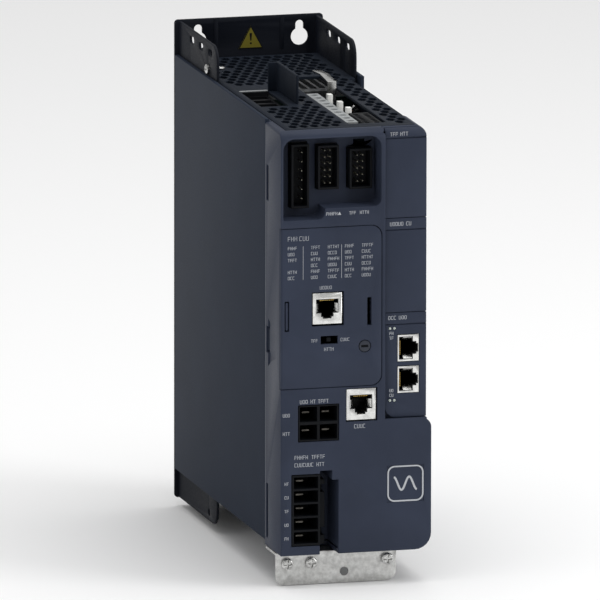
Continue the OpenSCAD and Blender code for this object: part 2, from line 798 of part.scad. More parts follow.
module io_header_right() {
    color([0.06, 0.06, 0.07]) io_header(io_right);
}

// One pin of a header, centred on (x, z)
module header_pin(x, z) {
    block([x - pin_side / 2, io_front + 2.5, z - pin_side / 2],
        [x + pin_side / 2, io_front + io_cavity_d, z + pin_side / 2]);
}

module io_header_pins() {
    color([0.80, 0.76, 0.60]) {
        for (i = [0:5]) header_pin((io_left[0] + io_left[1]) / 2 + 1.5, io_left[2] + 5 + wide_pin_pitch * i);
        for (i = [0:5], s = [-1, 1])
            header_pin((io_middle[0] + io_middle[1]) / 2 + 1.5 * s, io_middle[2] + 3.2 + pin_pitch * i);
        for (i = [0:4], s = [-1, 1])
            header_pin((io_right[0] + io_right[1]) / 2 + 1.5 * s, io_right[2] + 3.8 + pin_pitch * i);
    }
}

// Mouth of an eight-pole jack, centred, with its latch notch below
module jack_mouth(grow) {
    translate([-5.9 - grow, -2.2 - grow]) square([11.8 + 2 * grow, 7 + 2 * grow]);
    translate([-3.1 - grow, -4.2 - grow]) square([6.2 + 2 * grow, 3]);
    translate([-2 - grow, -5.2 - grow]) square([4 + 2 * grow, 4]);
}

// Metal shell of a jack of size w by h, standing on the X-Z plane at y, its mouth towards -Y
module jack_shell(w, h, d) {
    t = jack_shell_t;
    upright(d, t - eps) difference() {
        translate([-w / 2, -h / 2]) square([w, h]);
        translate([-w / 2 + t, -h / 2 + t]) square([w - 2 * t, h - 2 * t]);
    }
    upright(t, 0) difference() {
        translate([-w / 2, -h / 2]) square([w, h]);
        jack_mouth(0.4);
    }
}

// Plastic body inside a jack's shell
module jack_insert(w, h, d) {
    t = jack_shell_t;
    difference() {
        upright(d, t) translate([-w / 2 + t, -h / 2 + t]) square([w - 2 * t, h - 2 * t]);
        upright(d - 6, t - 1) jack_mouth(0);
    }
}

// The eight spring contacts of a jack, rising from the far end of its mouth
module jack_wires(d) {
    for (i = [0:7]) sideways(-3.57 - 0.2 + 1.02 * i, -3.57 + 0.2 + 1.02 * i)
        polygon([[d - 6, 3.6], [4, 4.4], [4, 4.1], [d - 10, 2.4], [d - 6, 1.2]]);
}

module hmi_jack_shell() {
    color([0.78, 0.78, 0.76]) translate([hmi_x, front + 0.3, hmi_z]) jack_shell(jack_w, jack_h, jack_d);
}

module hmi_jack_insert() {
    color([0.05, 0.05, 0.06]) translate([hmi_x, front + 0.3, hmi_z]) jack_insert(jack_w, jack_h, jack_d);
}

module modbus_jack_shell() {
    color([0.78, 0.78, 0.76]) translate([modbus_x, front + 0.3, modbus_z]) jack_shell(jack_w, jack_h, jack_d);
}

module modbus_jack_insert() {
    color([0.05, 0.05, 0.06]) translate([modbus_x, front + 0.3, modbus_z]) jack_insert(jack_w, jack_h,
        jack_d);
}

// Places a jack in the option column, turned so that its latch notch faces +X
module at_ethernet_jacks() {
    for (z = eth_z) translate([eth_x, column_front, z]) rotate([0, -90, 0]) children();
}

module ethernet_jack_shells() {
    color([0.78, 0.78, 0.76]) at_ethernet_jacks() jack_shell(eth_w, eth_h, jack_d);
}

module ethernet_jack_inserts() {
    color([0.05, 0.05, 0.06]) at_ethernet_jacks() jack_insert(eth_w, eth_h, jack_d);
}

module jack_contacts() {
    color([0.85, 0.68, 0.30]) {
        translate([hmi_x, front + 0.3, hmi_z]) jack_wires(jack_d);
        translate([modbus_x, front + 0.3, modbus_z]) jack_wires(jack_d);
        at_ethernet_jacks() jack_wires(jack_d);
    }
}

module polarity_switch_body() {
    color([0.10, 0.10, 0.11]) difference() {
        block([switch_x - 6.5, front + 6, switch_z - 3.5], [switch_x + 6.5, board_front, switch_z + 3.5]);
        block([switch_x - switch_travel - knob_w / 2 - 0.4, front + 5, switch_z - 1.6],
            [switch_x + switch_travel + knob_w / 2 + 0.4, front + 9, switch_z + 1.6]);
    }
}

module polarity_switch_knob() {
    color([0.03, 0.03, 0.03]) block([switch_x - knob_w / 2, front + 1.6, switch_z - 1.2],
        [switch_x + knob_w / 2, front + 8.7, switch_z + 1.2]);
}

module dc_bus_header() {
    mid_x = (dc_x[0] + dc_x[1]) / 2;
    mid_z = (dc_z[0] + dc_z[1]) / 2;
    w = (dc_x[1] - dc_x[0]) / 2 - header_web;
    h = (dc_z[1] - dc_z[0]) / 2 - header_web;
    color([0.05, 0.05, 0.06]) difference() {
        block([dc_x[0], front + 0.4, dc_z[0]], [dc_x[1], dc_back, dc_z[1]]);
        for (i = [-1, 1], k = [-1, 1])
            translate([mid_x + i * (w + header_web) / 2, 0, mid_z + k * (h + header_web) / 2])
                block([-w / 2 + 0.2, front - 1, -h / 2 + 0.3], [w / 2 - 0.2, front + motor_cavity_d,
                    h / 2 - 0.3]);
    }
}

// A flat contact in a cavity, and the bar that runs on from the header to the power board
module power_contact(x, z, y_front, y_base, y_back) {
    block([x - 2, y_front, z - 0.4], [x + 2, y_base, z + 0.4]);
    block([x - 2, y_back, z - 0.75], [x + 2, power_board_front, z + 0.75]);
}

module dc_bus_contacts() {
    w = (dc_x[1] - dc_x[0]) / 4;
    h = (dc_z[1] - dc_z[0]) / 4;
    color([0.78, 0.74, 0.66]) for (i = [1, 3], k = [1, 3])
        power_contact(dc_x[0] + i * w, dc_z[0] + k * h, front + 7, front + motor_cavity_d, dc_back);
}

// Height of the middle of a motor pole
function motor_pole_z(i) = (motor_z[0] + motor_z[1]) / 2 + (i - (motor_poles - 1) / 2) * motor_pitch;

module motor_header() {
    h = motor_pitch - header_web;
    color([0.05, 0.05, 0.06]) difference() {
        block([motor_x[0], front + 0.4, motor_z[0]], [motor_x[1], motor_back, motor_z[1]]);
        for (i = [0:motor_poles - 1]) block([motor_x[0] + 1.2, front - 1, motor_pole_z(i) - h / 2],
            [motor_x[1] - 1.2, front + motor_cavity_d, motor_pole_z(i) + h / 2]);
    }
}

module motor_contacts() {
    x = (motor_x[0] + motor_x[1]) / 2 - 2;
    color([0.78, 0.74, 0.66]) for (i = [0:motor_poles - 1])
        power_contact(x, motor_pole_z(i), front + 7, front + motor_cavity_d, motor_back);
}

module motor_latch_rail() {
    color([0.07, 0.07, 0.08]) difference() {
        block([well_x[0] + 0.3, front + 5, foot + 5], [well_x[0] + 3.4, front + well_d, well_top - 0.3]);
        for (z = [foot + 12, foot + 36]) block([well_x[0], front + 4, z - 2.2], [well_x[0] + 9,
            front + 12, z + 2.2]);
    }
}

module mains_header() {
    pitch = (mains_y[1] - mains_y[0]) / mains_poles;
    color([0.06, 0.06, 0.07]) difference() {
        union() {
            block([mains_x[0] + 1.8, mains_y[0] + 0.3, mains_top - 22],
                [mains_x[1] - 0.3, mains_y[1] - 0.3, mains_top]);
            block([mains_x[0] + 1.8, mains_y[1] - 0.3 - mains_rail, mains_top - eps],
                [mains_x[1] - 0.3, mains_y[1] - 0.3, deck]);
            block([mains_x[0] + 6.5, mains_y[1] - 1, mains_top - 22],
                [mains_x[1] - 2, power_board_front, mains_top - 8]);
        }
        for (i = [0:mains_poles - 1]) block([mains_x[0] + 3.4, mains_y[0] + i * pitch + 1.4, mains_top - 13],
            [mains_x[1] - 1.8, mains_y[0] + (i + 1) * pitch - 1.6, mains_top + 1]);
    }
}

module mains_contacts() {
    pitch = (mains_y[1] - mains_y[0]) / mains_poles;
    color([0.78, 0.74, 0.66]) for (i = [0:mains_poles - 1]) translate([(mains_x[0] + mains_x[1]) / 2 + 0.8,
        mains_y[0] + (i + 0.5) * pitch + 0.2, 0]) block([-2.5, -0.4, mains_top - 13], [2.5, 0.4,
            mains_top - 4]);
}

module top_board() {
    color([0.08, 0.30, 0.20]) block([-1, front + 26, top_board_z - board_t], [22, power_board_front,
        top_board_z]);
}

module top_terminal_block() {
    wells = 10;
    pitch = 86 / wells;
    color([0.62, 0.63, 0.63]) difference() {
        block([1, top_open_y[0] + 10, top_board_z], [8, top_open_y[0] + 96, deck - 1]);
        for (i = [0:wells - 1]) {
            translate([4.5, top_open_y[0] + 10 + (i + 0.5) * pitch, deck - 8]) cylinder(r = 2.2, h = 8);
        }
    }
}

module terminal_markers() {
    color([0.93, 0.93, 0.92]) for (y = [77, 55, 37])
        block([8.2, top_open_y[0] + y - 2, top_board_z], [11, top_open_y[0] + y + 2, deck + 2]);
}

module top_shield_clip() {
    color([0.85, 0.85, 0.83]) {
        sideways(clip_x[0], clip_x[1]) polygon([[clip_y[0], top_board_z], [clip_y[0] + 1.5, top_board_z],
            [clip_y[0] + 1.5, deck + 2.5], [clip_y[0] + 17, deck + 4], [clip_y[1], deck + 3],
            [clip_y[1], deck + 4], [clip_y[0] + 17, deck + 5], [clip_y[0], deck + 3.6]]);
    }
}

module top_connector() {
    color([0.07, 0.07, 0.08]) difference() {
        union() {
            block([8.5, top_open_y[0] + 1, deck - 6.5], [19.5, top_open_y[0] + 33, deck - 0.5]);
            block([8.5, front + 26, top_board_z], [19.5, top_open_y[0] + 33, deck - 6]);
        }
        for (i = [0:6], x = [11.2, 16.8]) translate([x, top_open_y[0] + 4 + 4 * i, deck - 5])
            cylinder(r = 1.5, h = 8);
    }
}

// ---- Fan ----

module fan_frame() {
    r = fan_side / 2 - 2;
    color([0.08, 0.08, 0.09]) translate([0, fan_y, fan_foot]) {
        difference() {
            translate([-fan_side / 2, -fan_side / 2, 0]) cube([fan_side, fan_side, fan_h]);
            translate([0, 0, -1]) cylinder(r = r, h = fan_h + 2);
            for (x = [-1, 1], y = [-1, 1]) translate([x * (fan_side / 2 - 4), y * (fan_side / 2 - 4), -1])
                cylinder(r = 2.1, h = fan_h + 2);
        }
        cylinder(r = 14, h = 1.5);
        difference() {
            union() {
                for (a = [45:90:359]) rotate(a) translate([12, -1.5, 0]) cube([r - 11, 3, 1.5]);
                for (q = [20, 26]) difference() {
                    cylinder(r = q + 0.7, h = 1.5);
                    translate([0, 0, -1]) cylinder(r = q - 0.7, h = 4);
                }
            }
            translate([0, 0, 1.4]) cylinder(r = 10, h = 1);
        }
        translate([0, 0, 1.4]) cylinder(r = 1.5, h = 9);
    }
}

module fan_rotor() {
    r = fan_side / 2 - 3;
    hub_r = 13.5;
    foot_z = 2.2;
    rotor_h = fan_h - 3.4;
    color([0.05, 0.05, 0.06]) translate([0, fan_y, fan_foot + foot_z]) difference() {
        union() {
            cylinder(r = hub_r, h = rotor_h);
            intersection() {
                cylinder(r = r, h = rotor_h);
                for (i = [0:fan_blades - 1]) rotate(360 / fan_blades * i) translate([hub_r - 1, 0,
                    rotor_h / 2])
                    rotate([38, 0, 0]) translate([0, -9, -0.7]) cube([r - hub_r + 3, 18, 1.4]);
            }
        }
        translate([0, 0, -1]) cylinder(r = 1.5 + pin_clear, h = 10);
    }
}

// ---- Shield plate ----

module shield_plate() {
    color([0.70, 0.70, 0.69]) {
        difference() {
            upright(shield_y + sheet_t, shield_y) polygon(rounded(shield_x[0], shield_foot, shield_x[1],
                foot - part_gap,
                [5, 5, 0, 0]));
            bar_y(shield_hole[0], shield_hole[1], shield_hole_r, shield_y + 5, shield_y - 5);
            for (p = shield_screws) bar_y(p[0], p[1], 1.9, shield_y + 5, shield_y - 5);
        }
        difference() {
            block([shield_x[0], shield_y + eps, foot - part_gap - sheet_t], [shield_x[1],
                shield_leaf_back, foot - part_gap]);
            for (x = [-20, 15]) translate([x, shield_y + 16, foot - 5]) cylinder(r = 1.55, h = 9);
        }
    }
}

module shield_plate_screws() {
    color([0.80, 0.80, 0.78]) {
        for (p = shield_screws) translate([p[0], shield_y, p[1]]) rotate([90, 0, 0])
            pan_screw(3.2, 1.9, 1.85, sheet_t + 3.5);
        for (x = [-20, 15]) translate([x, shield_y + 16, foot - part_gap - sheet_t]) rotate([180, 0, 0])
            pan_screw(2.8, 1.7, 1.5, wall_t + sheet_t);
    }
}

mounting_bracket();
warning_label();
earth_screw();
deck_screw();
heatsink();
thermal_pad();
power_module();
rectifier_module();
power_board();
dc_capacitors();
emc_choke();
relays();
current_sensors();
insulating_sheet();
board_link();
control_board();
board_screws();
main_housing();
top_grille();
cable_divider();
front_shell();
control_cover();
cover_lock_screw();
safety_slot_cover();
encoder_slot_cover();
ethernet_module_face();
ethernet_board();
light_pipes();
badge();
io_header_left();
io_header_middle();
io_header_right();
io_header_pins();
hmi_jack_shell();
hmi_jack_insert();
modbus_jack_shell();
modbus_jack_insert();
ethernet_jack_shells();
ethernet_jack_inserts();
jack_contacts();
polarity_switch_body();
polarity_switch_knob();
dc_bus_header();
dc_bus_contacts();
motor_header();
motor_contacts();
motor_latch_rail();
mains_header();
mains_contacts();
top_board();
top_terminal_block();
terminal_markers();
top_shield_clip();
top_connector();
fan_frame();
fan_rotor();
shield_plate();
shield_plate_screws();
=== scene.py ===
# %% [markdown]
# # A servo drive, finished in Blender
# The drive is a narrow case of dark blue-grey plastic on a black sheet-metal bracket. Its solid
# parts come ready-made as a fixed frame, and this lesson gives them rounded edges, real finishes
# and the small pieces that a solid model leaves out: screws, springs, windings and printed marks.
# Everything is in metres. Sizes are written in millimetres, and turned into metres in one place.

import json
import math

import bmesh
import bpy
import numpy as np
from mathutils import Matrix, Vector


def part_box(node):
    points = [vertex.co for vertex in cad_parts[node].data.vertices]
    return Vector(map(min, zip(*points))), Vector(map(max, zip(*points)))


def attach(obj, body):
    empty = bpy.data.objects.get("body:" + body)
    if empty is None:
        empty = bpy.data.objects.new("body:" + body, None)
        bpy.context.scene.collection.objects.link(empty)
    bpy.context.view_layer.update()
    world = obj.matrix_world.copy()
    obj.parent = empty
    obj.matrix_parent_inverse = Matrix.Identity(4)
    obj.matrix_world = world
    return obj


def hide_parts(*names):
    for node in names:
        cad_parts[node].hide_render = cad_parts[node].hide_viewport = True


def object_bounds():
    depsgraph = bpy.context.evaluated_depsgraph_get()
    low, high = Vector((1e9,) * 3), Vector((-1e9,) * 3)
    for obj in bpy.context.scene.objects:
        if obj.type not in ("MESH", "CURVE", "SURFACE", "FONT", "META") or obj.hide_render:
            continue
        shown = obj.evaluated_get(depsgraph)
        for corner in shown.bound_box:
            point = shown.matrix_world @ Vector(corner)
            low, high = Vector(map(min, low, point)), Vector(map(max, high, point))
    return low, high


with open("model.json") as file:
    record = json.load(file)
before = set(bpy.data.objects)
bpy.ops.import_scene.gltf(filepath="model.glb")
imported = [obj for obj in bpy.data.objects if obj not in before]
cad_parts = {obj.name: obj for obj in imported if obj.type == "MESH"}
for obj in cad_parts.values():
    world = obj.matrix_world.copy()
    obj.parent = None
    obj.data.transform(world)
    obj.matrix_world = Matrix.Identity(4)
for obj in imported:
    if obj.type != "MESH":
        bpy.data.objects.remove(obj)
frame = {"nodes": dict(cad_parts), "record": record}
cad_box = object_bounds()
MM = 0.001
record = frame["record"]
SLOT_OF = {row["node"]: row["material_slot"] for row in record["subparts"]}
BODY_OF = {node: body for body, nodes in record["behaviour"]["bodies"].items() for node in nodes}


# %% [markdown]
# ## Where things are
# A piece that is added later has to sit on the part that carries it, so its place is read from
# that part's own box instead of being typed in.

# %% Corners of a node in millimetres
def corners(node):
    """The lowest and the highest corner of a node, in millimetres."""
    low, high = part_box(node)
    return np.array(low) / MM, np.array(high) / MM


front_low, front_high = corners("front_shell")
plate_top = corners("mounting_bracket")[1][2]
print("front face at Y", round(front_low[1], 2), "mm; deck at Z", round(front_high[2], 2), "mm")

# %% [markdown]
# ## The camera
# The view is taken from far away with a long lens, so that upright edges stay parallel. The camera
# stands eleven metres off, a little to the left and a little above, and looks at the middle of
# the drive.

# %% Camera
CAMERA_TURN = math.radians(-14.845)
CAMERA_RISE = math.radians(11.279)
CAMERA_ROLL = math.radians(0.075)
CAMERA_RANGE = 10.928
CAMERA_LENS = 1192.0
TARGET = np.array([0.0, -0.110, 0.0])
RENDER_SIDE = 600
LENS_SHIFT = (1.25, -7.45)

toward_camera = np.array([
    math.sin(CAMERA_TURN) * math.cos(CAMERA_RISE),
    -math.cos(CAMERA_TURN) * math.cos(CAMERA_RISE),
    math.sin(CAMERA_RISE),
])
level_right = np.array([math.cos(CAMERA_TURN), math.sin(CAMERA_TURN), 0.0])
level_up = np.cross(toward_camera, level_right)
right = math.cos(CAMERA_ROLL) * level_right + math.sin(CAMERA_ROLL) * level_up
up = math.cos(CAMERA_ROLL) * level_up - math.sin(CAMERA_ROLL) * level_right
camera_data = bpy.data.cameras.new("camera")
camera_data.sensor_width = 36.0
camera_data.lens = CAMERA_LENS
camera_data.clip_end = 60.0
camera_data.shift_x = LENS_SHIFT[0] / RENDER_SIDE
camera_data.shift_y = LENS_SHIFT[1] / RENDER_SIDE
camera = bpy.data.objects.new("camera", camera_data)
bpy.context.scene.collection.objects.link(camera)
camera.location = TARGET + CAMERA_RANGE * toward_camera
camera.rotation_euler = Matrix(np.column_stack([right, up, toward_camera])).to_euler()
bpy.context.scene.camera = camera
print("camera at", [round(v, 3) for v in camera.location])

# %% [markdown]
# ## Floor and light
# The floor is a plain pale sheet. Dark plastic shows its shape mostly by what it reflects, so the
# lamps are wide soft panels: one above and in front, one from the right, one low from the left.

# %% Colours in the maker's scale
def paint(red, green, blue):
    """A colour given from 0 to 255 as displays show it, turned into the light it stands for."""
    shown = np.array([red, green, blue]) / 255.0
    light = np.where(shown <= 0.04045, shown / 12.92, ((shown + 0.055) / 1.055) ** 2.4)
    return (*light.tolist(), 1.0)


# %% Nodes of a material
def add_node(tree, kind, inputs=None, **settings):
    """A shader node whose sockets are set to numbers or joined to other nodes' sockets."""
    node = tree.nodes.new(kind)
    for name, value in settings.items():
        setattr(node, name, value)
    for name, value in (inputs or {}).items():
        if isinstance(value, bpy.types.NodeSocket):
            tree.links.new(value, node.inputs[name])
        else:
            node.inputs[name].default_value = value
    return node


# %% Floor
FLOOR_DROP = 0.0004
FLOOR_HALF = 12
floor_z = cad_box[0][2] - FLOOR_DROP
floor_mesh = bpy.data.meshes.new("floor")
floor_corners = [
    (x * FLOOR_HALF, y * FLOOR_HALF, floor_z) for x, y in ((-1, -1), (1, -1), (1, 1), (-1, 1))
]
floor_mesh.from_pydata(floor_corners, [], [(0, 1, 2, 3)])
floor = bpy.data.objects.new("floor", floor_mesh)
bpy.context.scene.collection.objects.link(floor)
floor_finish = bpy.data.materials.new("floor_finish")
floor_finish.use_nodes = True
floor_shader = floor_finish.node_tree.nodes["Principled BSDF"]
floor_shader.inputs["Base Color"].default_value = paint(252, 252, 252)
floor_shader.inputs["Roughness"].default_value = 0.9
floor_shader.inputs["Specular IOR Level"].default_value = 0.1
floor_mesh.materials.append(floor_finish)

# %% Lamps
def add_lamp(name, place, aim, size, watts):
    """A square soft panel of light at a place, turned towards the point it aims at."""
    data = bpy.data.lights.new(name, "AREA")
    data.shape = "RECTANGLE"
    data.size, data.size_y = size
    data.energy = watts
    lamp = bpy.data.objects.new(name, data)
    bpy.context.scene.collection.objects.link(lamp)
    lamp.location = place
    toward = np.array(place) - np.array(aim)
    lamp.rotation_euler = (
        math.atan2(math.hypot(toward[0], toward[1]), toward[2]),
        0.0,
        math.atan2(toward[0], -toward[1]),
    )
    return lamp


add_lamp("lamp_top", (0.2, -0.3, 2.4), (0, -0.1, 0), (2.4, 2.4), 37)
add_lamp("lamp_right", (1.9, -1.5, 1.0), (0, -0.12, 0), (1.0, 1.6), 20)
add_lamp("lamp_left", (-2.2, -1.2, 0.9), (0, -0.1, 0), (1.2, 1.6), 2.5)
WORLD_LIGHT = 0.52
world = bpy.data.worlds.new("studio")
bpy.context.scene.world = world
world.use_nodes = True
world.node_tree.nodes["Background"].inputs["Color"].default_value = (1.0, 1.0, 1.0, 1.0)
world.node_tree.nodes["Background"].inputs["Strength"].default_value = WORLD_LIGHT
bpy.context.scene.view_settings.view_transform = "Standard"
print("floor at Z", round(floor_z / MM, 2), "mm, three lamps")

# %% [markdown]
# ## Moulded plastic
# The case is moulded in a spark-eroded tool, which leaves a fine matt grain of about a third of a
# millimetre. Grain is far too small to model, so a noise pattern raises the surface by a few
# hundredths of a millimetre in the shader, and a second, broad noise shifts the tone a little, as
# real mouldings do between thick and thin walls.

# %% Start of a finish
FINISH = {}


def start_finish(slot):
    """A new material for a slot, with its shader and its object coordinates in metres."""
    finish = bpy.data.materials.new(slot + "_finish")
    finish.use_nodes = True
    tree = finish.node_tree
    shader = tree.nodes["Principled BSDF"]
    place = add_node(tree, "ShaderNodeTexCoord").outputs["Object"]
    FINISH[slot] = finish
    return tree, shader, place


def speckle(tree, place, size_mm, detail=2.0, rough=0.5):
    """A noise pattern whose blotches are about size_mm across."""
    return add_node(tree, "ShaderNodeTexNoise", {
        "Vector": place, "Scale": 1.0 / (size_mm * MM), "Detail": detail, "Roughness": rough,
    }).outputs["Fac"]


def blend_colours(tree, factor, low, high, start=0.3, end=0.7):
    """Runs from one colour to another as the factor goes from start to end."""
    ramp = add_node(tree, "ShaderNodeValToRGB", {"Fac": factor})
    ramp.color_ramp.elements[0].position, ramp.color_ramp.elements[0].color = start, low
    ramp.color_ramp.elements[1].position, ramp.color_ramp.elements[1].color = end, high
    return ramp.outputs["Color"]


def between(tree, factor, low, high, start=0.3, end=0.7):
    """Runs from one number to another as the factor goes from start to end."""
    return add_node(tree, "ShaderNodeMapRange", {
        "Value": factor, "From Min": start, "From Max": end, "To Min": low, "To Max": high,
    }).outputs["Result"]


def raise_surface(tree, shader, height, depth_mm, strength=1.0, over=None):
    """Lifts the surface by up to depth_mm where the height is one."""
    inputs = {"Height": height, "Distance": depth_mm * MM, "Strength": strength}
    if over is not None:
        inputs["Normal"] = over
    bump = add_node(tree, "ShaderNodeBump", inputs)
    tree.links.new(bump.outputs["Normal"], shader.inputs["Normal"])
    return bump.outputs["Normal"]


def shade(colour, factor):
    """A colour made lighter or darker."""
    return tuple(min(1.0, c * factor) for c in colour[:3]) + (1.0,)


# %% Moulded finishes
def moulded(slot, colour, grain_mm=0.35, depth_mm=0.02, rough=(0.42, 0.56), shine=0.35,
            spread=0.10):
    """Grained plastic: broad noise for tone, fine noise for grain and for its gloss."""
    tree, shader, place = start_finish(slot)
    broad = speckle(tree, place, 28.0, 3.0)
    grain = speckle(tree, place, grain_mm, 2.0, 0.6)
    tone = blend_colours(tree, broad, shade(colour, 1 - spread), shade(colour, 1 + spread))
    tree.links.new(tone, shader.inputs["Base Color"])
    tree.links.new(between(tree, grain, *rough), shader.inputs["Roughness"])
    shader.inputs["Specular IOR Level"].default_value = shine
    raise_surface(tree, shader, grain, depth_mm)


# front_plastic, case_plastic and deck_plastic are one dark blue-grey plastic. The front is painted
# lighter and the side and top deck darker, as painted light and shade on each face.
moulded("front_plastic", paint(48, 54, 69), shine=0.12)
moulded("case_plastic", paint(36, 43, 56), 0.4, 0.02, (0.56, 0.68), 0.08, 0.06)
moulded("deck_plastic", paint(25, 31, 41), 0.35, 0.02, (0.54, 0.66), 0.1)
moulded("lock_plastic", paint(40, 44, 54), 0.3, 0.015)
moulded("header_black", paint(11, 13, 17), 0.25, 0.006, (0.46, 0.58), 0.12)
moulded("jack_black", paint(13, 13, 15), 0.25, 0.005, (0.3, 0.42), 0.3)
moulded("module_plastic", paint(18, 19, 21), 0.3, 0.01, (0.4, 0.54), 0.25)
moulded("relay_plastic", paint(48, 62, 92), 0.3, 0.006, (0.22, 0.32), 0.45)
moulded("terminal_grey", paint(150, 153, 154), 0.3, 0.008, (0.36, 0.48))
moulded("marker_white", paint(236, 236, 232), 0.3, 0.006, (0.34, 0.46))
moulded("fan_black", paint(26, 26, 29), 0.3, 0.01, (0.34, 0.48))
moulded("thermal_pad", paint(188, 190, 178), 0.9, 0.03, (0.7, 0.86), 0.2)
moulded("insulator", paint(222, 216, 190), 1.6, 0.02, (0.55, 0.7), 0.25)
print("moulded finishes:", len(FINISH))

# %% [markdown]
# ## Powder coat, zinc and other metals
# The bracket is powder coated, which dries to a faint orange peel. The shield plate and the screws
# are zinc plated: bright, with blotches where the plating differs. Jack shells are nickel plated
# and smooth. The heatsink is extruded, so its marks all run along one axis.

# %% Metal finishes
def coated(slot, colour):
    """Powder coat: a rounded cell pattern for the orange peel under a thin gloss."""
    tree, shader, place = start_finish(slot)
    peel = speckle(tree, place, 0.9, 1.0, 0.4)
    broad = speckle(tree, place, 40.0, 2.0)
    tone = blend_colours(tree, broad, shade(colour, 0.88), shade(colour, 1.12))
    tree.links.new(tone, shader.inputs["Base Color"])
    tree.links.new(between(tree, peel, 0.5, 0.64), shader.inputs["Roughness"])
    shader.inputs["Specular IOR Level"].default_value = 0.14
    raise_surface(tree, shader, peel, 0.03)


def metal(slot, dark, light, blotch_mm, rough, grain_mm=0.15, depth_mm=0.004, stretch=(1, 1, 1)):
    """Bare or plated metal: blotches of tone and gloss, with fine marks a stretch can draw out."""
    tree, shader, place = start_finish(slot)
    mapping = add_node(tree, "ShaderNodeMapping", {"Vector": place, "Scale": stretch})
    drawn = mapping.outputs["Vector"]
    blotch = speckle(tree, drawn, blotch_mm, 4.0, 0.62)
    marks = speckle(tree, drawn, grain_mm, 2.0)
    tree.links.new(blend_colours(tree, blotch, dark, light), shader.inputs["Base Color"])
    tree.links.new(between(tree, blotch, rough[1], rough[0]), shader.inputs["Roughness"])
    shader.inputs["Metallic"].default_value = 1.0
    raise_surface(tree, shader, marks, depth_mm)


coated("bracket_coat", paint(15, 19, 28))
metal("shield_zinc", paint(176, 176, 174), paint(214, 214, 212), 3.0, (0.3, 0.48), 0.3, 0.012)
metal("screw_zinc", paint(168, 168, 166), paint(222, 222, 220), 1.4, (0.2, 0.34))
metal("jack_metal", paint(196, 196, 194), paint(232, 232, 230), 4.0, (0.2, 0.3))
metal("clip_steel", paint(190, 190, 188), paint(228, 228, 226), 5.0, (0.18, 0.3))
metal("heatsink_aluminium", paint(176, 178, 180), paint(206, 208, 210), 1.2, (0.3, 0.42), 0.3,
      0.01, (1, 1, 0.03))
metal("pin_metal", paint(206, 202, 182), paint(236, 232, 216), 1.5, (0.26, 0.4))
metal("bus_metal", paint(70, 68, 64), paint(104, 100, 94), 2.0, (0.34, 0.5))
metal("contact_gold", paint(206, 164, 80), paint(238, 204, 122), 1.5, (0.14, 0.24))
metal("copper_winding", paint(150, 78, 40), paint(196, 116, 66), 2.0, (0.18, 0.3))
print("finishes so far:", len(FINISH))

# %% [markdown]
# ## Circuit boards, film, sleeves and light pipes
# These have patterns of their own: copper tracks under green solder mask, a printed film, a
# shrunk-on sleeve, and clear plastic that carries light.

# %% Other finishes
def board_finish(slot, mask, track):
    """Solder mask over copper: tracks are the thin edges between cells of a square mosaic."""
    tree, shader, place = start_finish(slot)
    cells = add_node(tree, "ShaderNodeTexVoronoi", {
        "Vector": place, "Scale": 1.0 / (4.0 * MM), "Randomness": 0.7,
    }, distance="MANHATTAN")
    line = between(tree, cells.outputs["Distance"], 0.0, 1.0, 0.42, 0.48)
    tree.links.new(blend_colours(tree, line, mask, track), shader.inputs["Base Color"])
    tree.links.new(between(tree, line, 0.22, 0.3), shader.inputs["Roughness"])
    shader.inputs["Coat Weight"].default_value = 0.4
    raise_surface(tree, shader, line, 0.03)


board_finish("circuit_board", paint(9, 18, 16), paint(15, 30, 25))
moulded("label_film", paint(112, 104, 30), 0.5, 0.004, (0.4, 0.5), 0.3, 0.05)
moulded("capacitor_sleeve", paint(30, 34, 52), 2.0, 0.004, (0.16, 0.26), 0.5)
moulded("badge_ring", paint(176, 179, 184), 0.5, 0.004, (0.3, 0.4), 0.4, 0.03)


def clear_finish(slot, colour):
    """Cloudy clear plastic: mostly see-through, with a milky share that a noise varies."""
    tree, shader, place = start_finish(slot)
    haze = speckle(tree, place, 0.8, 2.0)
    tone = blend_colours(tree, haze, shade(colour, 0.92), colour)
    tree.links.new(tone, shader.inputs["Base Color"])
    tree.links.new(between(tree, haze, 0.1, 0.24), shader.inputs["Roughness"])
    shader.inputs["Transmission Weight"].default_value = 0.35
    shader.inputs["IOR"].default_value = 1.49


clear_finish("light_pipe", paint(214, 222, 216))
missing = sorted(set(SLOT_OF.values()) - set(FINISH))
print("finishes:", len(FINISH), "slots with none:", missing)

# %% [markdown]
# ## Rounded edges
# A moulding or a folded sheet never has a razor edge, and it is the thin bright line along an edge
# that makes an object look real. Each visible solid is copied, its loose triangles are sewn into
# whole faces, and a bevel rounds the edges by a few tenths of a millimetre. The copy stands for the
# solid, which stays in the frame unseen.

# %% A rounded copy of a solid
SEW = 2e-6
FLAT = math.radians(0.6)


def rounded_copy(node, radius_mm, steps=2, sharp_from=25.0):
    """A copy of a node, sewn together, with every edge sharper than sharp_from degrees rounded."""
    source = frame["nodes"][node]
    mesh = source.data.copy()
    sewn = bmesh.new()
    sewn.from_mesh(mesh)
    bmesh.ops.remove_doubles(sewn, verts=sewn.verts, dist=SEW)
    bmesh.ops.dissolve_limit(sewn, angle_limit=FLAT, verts=sewn.verts, edges=sewn.edges)
    sewn.to_mesh(mesh)
    sewn.free()
    mesh.name = node + "_rounded"
    mesh.materials.clear()
    mesh.materials.append(FINISH[SLOT_OF[node]])
    mesh.shade_smooth()
    piece = bpy.data.objects.new(node + "_rounded", mesh)
    bpy.context.scene.collection.objects.link(piece)
    bevel = piece.modifiers.new("edges", "BEVEL")
    bevel.width = radius_mm * MM
    bevel.segments = steps
    bevel.limit_method = "ANGLE"
    bevel.angle_limit = math.radians(sharp_from)
    bevel.use_clamp_overlap = False
    bevel.harden_normals = True
    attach(piece, BODY_OF[node])
    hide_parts(node)
    return piece


